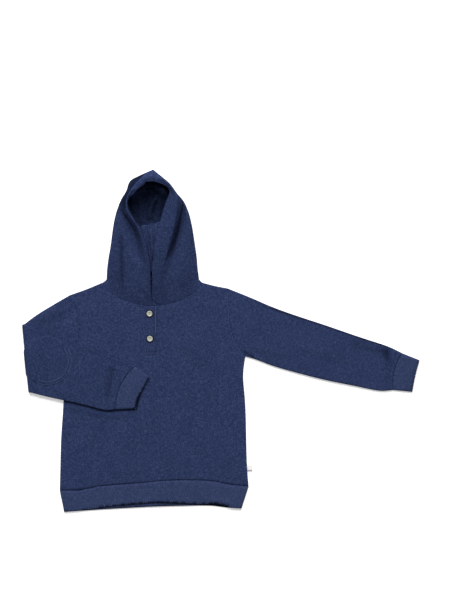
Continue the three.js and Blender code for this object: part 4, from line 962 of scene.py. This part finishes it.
def height_on(tree, x, y):
    """The height of the first face below a place, looking down from above, or 0 where there is none."""
    hit = tree.ray_cast(Vector((x, y, LOOK_DOWN_FROM)), Vector((0, 0, -1)))
    return hit[0].z if hit[0] is not None else 0.0


def reach_round(places, middle):
    """A piece's furthest reach from its middle in each of PATCH_TURNS directions, and the directions."""
    offset = places[:, :2] - middle
    turn = np.arctan2(offset[:, 1], offset[:, 0])
    bins = ((turn + math.pi) / (2 * math.pi) * PATCH_TURNS).astype(int) % PATCH_TURNS
    reach = np.zeros(PATCH_TURNS)
    np.maximum.at(reach, bins, np.linalg.norm(offset, axis=1))
    return (np.arange(PATCH_TURNS) + 0.5) / PATCH_TURNS * 2 * math.pi - math.pi, reach


patch = fine_shell("elbow_patch", "round_elbow_patch", 3)
places = corners(patch)
patch_middle = (places[:, :2].max(axis=0) + places[:, :2].min(axis=0)) / 2
patch_turns, patch_reach = reach_round(places, patch_middle)
offset = places[:, :2] - patch_middle
rim = np.interp(np.arctan2(offset[:, 1], offset[:, 0]), patch_turns, patch_reach, period=2 * math.pi)
from_rim = rim - np.linalg.norm(offset, axis=1)
under_patch = search_tree(sleeve_right.data)
for i in np.nonzero(places[:, 2] > PATCH_UPPER_WALL)[0]:
    inwards = places[i, :2] - offset[i] / max(np.linalg.norm(offset[i]), MM) * PATCH_RIM
    base = max(height_on(under_patch, *places[i, :2]), height_on(under_patch, *inwards))
    if 0 < places[i, 2] - base < PATCH_LIFT:
        at_rim = math.exp(-(from_rim[i] / PATCH_RIM) ** 2)
        share = PATCH_PRESSED + (PATCH_RIM_PRESSED - PATCH_PRESSED) * at_rim
        places[i, 2] -= (places[i, 2] - base) * share
patch_shade = np.full(len(places), PATCH_TONE)
finish_cloth(patch, places, RIGHT_ARM_TURN, patch_shade, fleece, "elbow_patch")

# %% [markdown]
# ## Stitches
#
# A row of stitches repeats one small shape along a line, which is what Geometry Nodes do best: a line is
# cut into equal steps, a lens-shaped bead of thread is set on each and turned along the line, and the
# result is turned into a real mesh. Pitch, stitch length and thread thickness are named inputs, so one
# tree sews every row. The lines themselves are places of the photograph laid on top of each piece.

# %% Thread
NAVY_TONES = ((0.068, 0.104, 0.235), (0.110, 0.155, 0.320))
thread = speckled_material("navy_thread", 0.7, (1400, 1400, 1400), NAVY_TONES, 1.0)[0]

# %% The stitch tree
stitch_tree = bpy.data.node_groups.new("stitch_row", "GeometryNodeTree")
for socket, kind in (("Line", "NodeSocketGeometry"), ("Pitch", "NodeSocketFloat"),
                     ("Stitch Length", "NodeSocketFloat"), ("Thread", "NodeSocketFloat"),
                     ("Finish", "NodeSocketMaterial")):
    stitch_tree.interface.new_socket(socket, in_out="INPUT", socket_type=kind)
stitch_tree.interface.new_socket("Stitches", in_out="OUTPUT", socket_type="NodeSocketGeometry")
sewing = stitch_tree.nodes.new("NodeGroupInput").outputs
line = add_node(stitch_tree, "GeometryNodeMeshToCurve", links={"Mesh": sewing["Line"]})
steps = add_node(stitch_tree, "GeometryNodeResampleCurve", {"mode": "LENGTH"},
                 links={"Curve": line.outputs["Curve"], "Length": sewing["Pitch"]})
BEAD = {"Segments": 8, "Rings": 5, "Radius": 0.5}
bead = add_node(stitch_tree, "GeometryNodeMeshUVSphere", values=BEAD)
bead_size = add_node(stitch_tree, "ShaderNodeCombineXYZ",
                     links={"X": sewing["Stitch Length"], "Y": sewing["Thread"], "Z": sewing["Thread"]})
run = add_node(stitch_tree, "GeometryNodeInputTangent")
turned = add_node(stitch_tree, "FunctionNodeAlignRotationToVector", {"axis": "X"},
                  links={"Vector": run.outputs["Tangent"]})
set_beads = add_node(stitch_tree, "GeometryNodeInstanceOnPoints",
                     links={"Points": steps.outputs["Curve"], "Instance": bead.outputs["Mesh"],
                            "Rotation": turned.outputs["Rotation"], "Scale": bead_size.outputs["Vector"]})
real = add_node(stitch_tree, "GeometryNodeRealizeInstances",
                links={"Geometry": set_beads.outputs["Instances"]})
smooth = add_node(stitch_tree, "GeometryNodeSetShadeSmooth", links={"Geometry": real.outputs["Geometry"]})
finished = add_node(stitch_tree, "GeometryNodeSetMaterial",
                    links={"Geometry": smooth.outputs["Geometry"], "Material": sewing["Finish"]})
stitch_out = stitch_tree.nodes.new("NodeGroupOutput")
stitch_tree.links.new(finished.outputs["Geometry"], stitch_out.inputs["Stitches"])
print("stitch tree:", len(stitch_tree.nodes), "nodes")

# %% Sewing a row
LINE_STEP = 1.0 * MM
STITCH_SINK = 0.1


def stitches(name, lines, carrier, pitch, length, thickness):
    """Rows of stitches on top of a piece, along lines that stop at its edge. Sizes are in millimetres."""
    tree = search_tree(carrier.data)
    points, edges = [], []
    for path in lines:
        path = np.array(path)
        walked = np.concatenate([[0], np.cumsum(np.linalg.norm(np.diff(path, axis=0), axis=1))])
        at = np.linspace(0, walked[-1], max(2, int(walked[-1] / LINE_STEP)))
        last = None
        for x, y in zip(np.interp(at, walked, path[:, 0]), np.interp(at, walked, path[:, 1])):
            top = height_on(tree, x, y)
            if top <= 0:
                last = None
                continue
            points.append((x, y, top + (thickness / 2 - STITCH_SINK) * MM))
            if last is not None:
                edges.append((last, len(points) - 1))
            last = len(points) - 1
    mesh = bpy.data.meshes.new(name + "_line")
    mesh.from_pydata(points, edges, [])
    source = new_object(name + "_line", mesh)
    sewn = source.modifiers.new("stitch_row", "NODES")
    sewn.node_group = stitch_tree
    sizes = {"Pitch": pitch * MM, "Stitch Length": length * MM, "Thread": thickness * MM, "Finish": thread}
    for socket in stitch_tree.interface.items_tree:
        if socket.in_out == "INPUT" and socket.name in sizes:
            sewn[socket.identifier] = sizes[socket.name]
    row = new_object(name, baked(source, name))
    bpy.data.objects.remove(source)
    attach(row, "root")
    print(name, len(row.data.polygons), "faces")


# %% Rows of stitches
FOOT_ROW = [(144.5, 353.2), (156, 353.2)]
TACK_ROWS = [[(146, 357.0), (154.5, 357.0)], [(156, 352), (154, 347), (151, 343)]]
# The edge row and the armhole row are real stitching, and their thread, lighter than the cloth, also paints
# the highlight along the ridge of the placket's free edge and of the armhole seam
EDGE_ROW = [(155.7, 306), (155.7, 333)]
ARMHOLE_ROW = [(227.2, 293), (228, 306), (229.2, 326), (232.8, 338), (239.4, 348.5)]
for name, rows, carrier, pitch, length, thickness in (
        ("placket_foot_stitches", [FOOT_ROW], placket, 2.2, 2.2, 0.8),
        ("placket_tack_stitches", TACK_ROWS, body_front, 2.3, 2.1, 0.5),
        ("placket_edge_stitches_and_highlight", [EDGE_ROW], placket, 2.2, 2.3, 0.7),
        ("armhole_stitches_and_highlight", [ARMHOLE_ROW], body_front, 2.4, 2.2, 0.42)):
    lines = [[at_pixel(*point) for point in row] for row in rows]
    stitches(name, lines, carrier, pitch, length, thickness)

# The photograph shows the patch's two rows only on the side away from the fold
PATCH_SEWN = (-115, 35)
PATCH_SEWN_STEPS = 90
PATCH_INSETS = (1.2, 6.4)
sewn_turns = np.radians(np.linspace(*PATCH_SEWN, PATCH_SEWN_STEPS))
sewn_reach = np.interp(sewn_turns, patch_turns, patch_reach, period=2 * math.pi)
directions = np.stack([np.cos(sewn_turns), np.sin(sewn_turns)], axis=1)
patch_rows = [patch_middle + (sewn_reach - inset * MM)[:, None] * directions for inset in PATCH_INSETS]
stitches("patch_stitches", patch_rows, patch, 2.5, 2.3, 0.5)

# %% [markdown]
# ## Buttons
#
# A cream two-hole button is turned from one disc: a dished face inside a rounded rim. Its half section
# is a short list of radii and heights, spun round the middle, and two holes are bored through it with a
# Boolean. Cream thread passes over the bar between the holes.

# %% Button finishes
CREAM_TONES = ((0.33, 0.335, 0.28), (0.435, 0.44, 0.375))
STRAND_TONES = ((0.30, 0.26, 0.17), (0.46, 0.41, 0.28))
POLISH = (0.32, 0.48)
cream, cream_tree, cream_shader = speckled_material("cream_button", 0.4, (260, 420, 260), CREAM_TONES, 3.0,
                                                    spread=(0.3, 0.7))
wear = noise(cream_tree, scaled(cream_tree, place_on_object(cream_tree), 1800, 1800, 1800))
cream_tree.links.new(ranged(cream_tree, wear, 0.3, 0.7, *POLISH), cream_shader.inputs["Roughness"])
cream_thread = speckled_material("cream_thread", 0.8, (2600, 2600, 2600), STRAND_TONES, 1.0)[0]

# %% Turning and drilling
BUTTON_SECTION = [(0.0, 0.15), (4.0, 0.1), (4.8, 0.3), (5.2, 0.6), (5.3, 0.85), (5.2, 1.2), (4.95, 1.7),
                  (4.6, 2.05), (4.2, 2.18), (3.8, 2.05), (3.3, 1.7), (2.8, 1.4), (0.0, 1.35)]
BUTTON_SEGMENTS = 64
HOLE_RADIUS = 0.8
HOLE_FROM_MIDDLE = 1.5
HOLE_DEPTH = 8
HOLE_SEGMENTS = 24


def turned_disc(name, section, middle):
    """A closed solid spun from a half section of radii and heights in millimetres."""
    work = bmesh.new()
    rings = []
    for radius, height in section:
        if radius == 0:
            rings.append([work.verts.new((middle[0], middle[1], middle[2] + height * MM))])
            continue
        ring = []
        for k in range(BUTTON_SEGMENTS):
            turn = 2 * math.pi * k / BUTTON_SEGMENTS
            ring.append(work.verts.new((middle[0] + radius * MM * math.cos(turn),
                                        middle[1] + radius * MM * math.sin(turn), middle[2] + height * MM)))
        rings.append(ring)
    for lower, upper in zip(rings[:-1], rings[1:]):
        for k in range(BUTTON_SEGMENTS):
            after = (k + 1) % BUTTON_SEGMENTS
            if len(lower) == 1:
                work.faces.new((lower[0], upper[after], upper[k]))
            elif len(upper) == 1:
                work.faces.new((lower[k], lower[after], upper[0]))
            else:
                work.faces.new((lower[k], lower[after], upper[after], upper[k]))
    bmesh.ops.recalc_face_normals(work, faces=work.faces)
    return new_object(name, mesh_of(work, name))


def drilled(name, middle):
    """A turned button with its two holes."""
    blank = turned_disc(name + "_blank", BUTTON_SECTION, middle)
    work = bmesh.new()
    for side in (-1, 1):
        place = Matrix.Translation((middle[0], middle[1] + side * HOLE_FROM_MIDDLE * MM, middle[2]))
        bmesh.ops.create_cone(work, cap_ends=True, segments=HOLE_SEGMENTS, radius1=HOLE_RADIUS * MM,
                              radius2=HOLE_RADIUS * MM, depth=HOLE_DEPTH * MM, matrix=place)
    bit = new_object(name + "_bit", mesh_of(work, name + "_bit"))
    holes = blank.modifiers.new("holes", "BOOLEAN")
    holes.operation = "DIFFERENCE"
    holes.object = bit
    made = new_object(name, baked(blank, name))
    for used in (blank, bit):
        bpy.data.objects.remove(used)
    smoothed(made.data)
    made.data.set_sharp_from_angle(angle=SHARP_SHADING)
    return made


# %% Buttons and their thread
STRAND_HALF = (0.28, 1.9, 0.28)
STRAND_FROM_MIDDLE = 0.28
STRAND_HEIGHT = 1.55
for node in ("button_upper", "button_lower"):
    low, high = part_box(node)
    middle = ((low[0] + high[0]) / 2, (low[1] + high[1]) / 2, low[2])
    button = drilled(node + "_turned", middle)
    button.data.materials.append(cream)
    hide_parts(node)
    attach(button, "root")
    bar = bmesh.new()
    for side in (-1, 1):
        place = Matrix.Translation((middle[0] + side * STRAND_FROM_MIDDLE * MM, middle[1],
                                    middle[2] + STRAND_HEIGHT * MM))
        shape = Matrix.Diagonal((*(half * MM for half in STRAND_HALF), 1))
        bmesh.ops.create_uvsphere(bar, u_segments=12, v_segments=8, radius=1, matrix=place @ shape)
    bar_mesh = mesh_of(bar, node + "_thread")
    smoothed(bar_mesh)
    bar_mesh.materials.append(cream_thread)
    bar_piece = new_object(node + "_thread", bar_mesh)
    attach(bar_piece, "root")
    print(button.name, len(button.data.polygons), "faces")

# %% [markdown]
# ## Side label
#
# A short white ribbon, folded in half and caught in the side seam. It is left blank. Ribbon is woven,
# so fine ribs run across it.

# %% Label
RIBBON_WAVE = {"Scale": 700.0, "Distortion": 1.0, "Detail": 1.0}
white_ribbon, ribbon_tree, ribbon_shader = base_material("white_ribbon", 0.7)
weave = add_node(ribbon_tree, "ShaderNodeTexWave", {"bands_direction": "Y"}, RIBBON_WAVE,
                 {"Vector": place_on_object(ribbon_tree)})
ribbon_colour = mixed(ribbon_tree, weave.outputs["Fac"], (0.74, 0.74, 0.72, 1), (0.90, 0.90, 0.88, 1))
ribbon_tree.links.new(ribbon_colour, ribbon_shader.inputs["Base Color"])
ribbon_relief = add_node(ribbon_tree, "ShaderNodeBump", values={"Strength": 0.4, "Distance": 0.1 * MM},
                         links={"Height": weave.outputs["Fac"]})
ribbon_tree.links.new(ribbon_relief.outputs["Normal"], ribbon_shader.inputs["Normal"])
label = fine_shell("side_label", "side_ribbon", 2)
dress(label, white_ribbon, "side_label")

# %% [markdown]
# ## Floor and light
#
# The photograph is a cut-out on white, lit softly from above and a little from the hood's side. A pale
# floor gives the white, and it glows faintly because a floor lit as weakly as dark cloth would look
# grey. One large lamp far off gives every part the same light, and a weak sky keeps the valleys and the
# inside of the hood dark.

# %% Floor, sky and lamp
FLOOR_SIZE = 12.0
FLOOR_DROP = 0.2 * MM
FLOOR_TONES = ((0.92, 0.92, 0.92), (0.94, 0.94, 0.94))
FLOOR_GLOW = {"Specular IOR Level": 0.1, "Emission Color": (1, 1, 1, 1), "Emission Strength": 0.4}
SKY_STRENGTH = 0.20

floor_mesh = bpy.data.meshes.new("pale_floor")
half = FLOOR_SIZE / 2
floor_corners = [(-half, -half, 0), (half, -half, 0), (half, half, 0), (-half, half, 0)]
floor_mesh.from_pydata(floor_corners, [], [(0, 1, 2, 3)])
floor = new_object("pale_floor", floor_mesh)
floor.location.z = -FLOOR_DROP
floor_finish = speckled_material("pale_floor", 0.9, (3, 3, 3), FLOOR_TONES)
set_inputs(floor_finish[2], FLOOR_GLOW)
floor_mesh.materials.append(floor_finish[0])
floor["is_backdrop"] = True

sky = bpy.data.worlds.new("studio_sky")
sky.use_nodes = True
set_inputs(sky.node_tree.nodes["Background"], {"Color": (1, 1, 1, 1), "Strength": SKY_STRENGTH})
bpy.context.scene.world = sky

LAMP_SIZE = 5.6
LAMP_WATTS = 990
LAMP_PLACE = (-0.5, 5.6, 5.6)
LAMP_AIM = Vector((-0.05, 0.0, 0))
lamp_data = bpy.data.lights.new("window_light", "AREA")
lamp_data.size = LAMP_SIZE
lamp_data.energy = LAMP_WATTS
lamp = new_object("window_light", lamp_data)
lamp.location = LAMP_PLACE
lamp.rotation_euler = (LAMP_AIM - lamp.location).to_track_quat("-Z", "Y").to_euler()

bpy.context.scene.view_settings.view_transform = "Standard"
bpy.context.scene.view_settings.look = "None"

# %% [markdown]
# ## The size of the result
#
# The box that the fine pieces fill is printed, in millimetres.

# %% Sizes, and the end
low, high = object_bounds()
print("visual box in mm:", [round(v / MM, 1) for v in (*low, *high)])
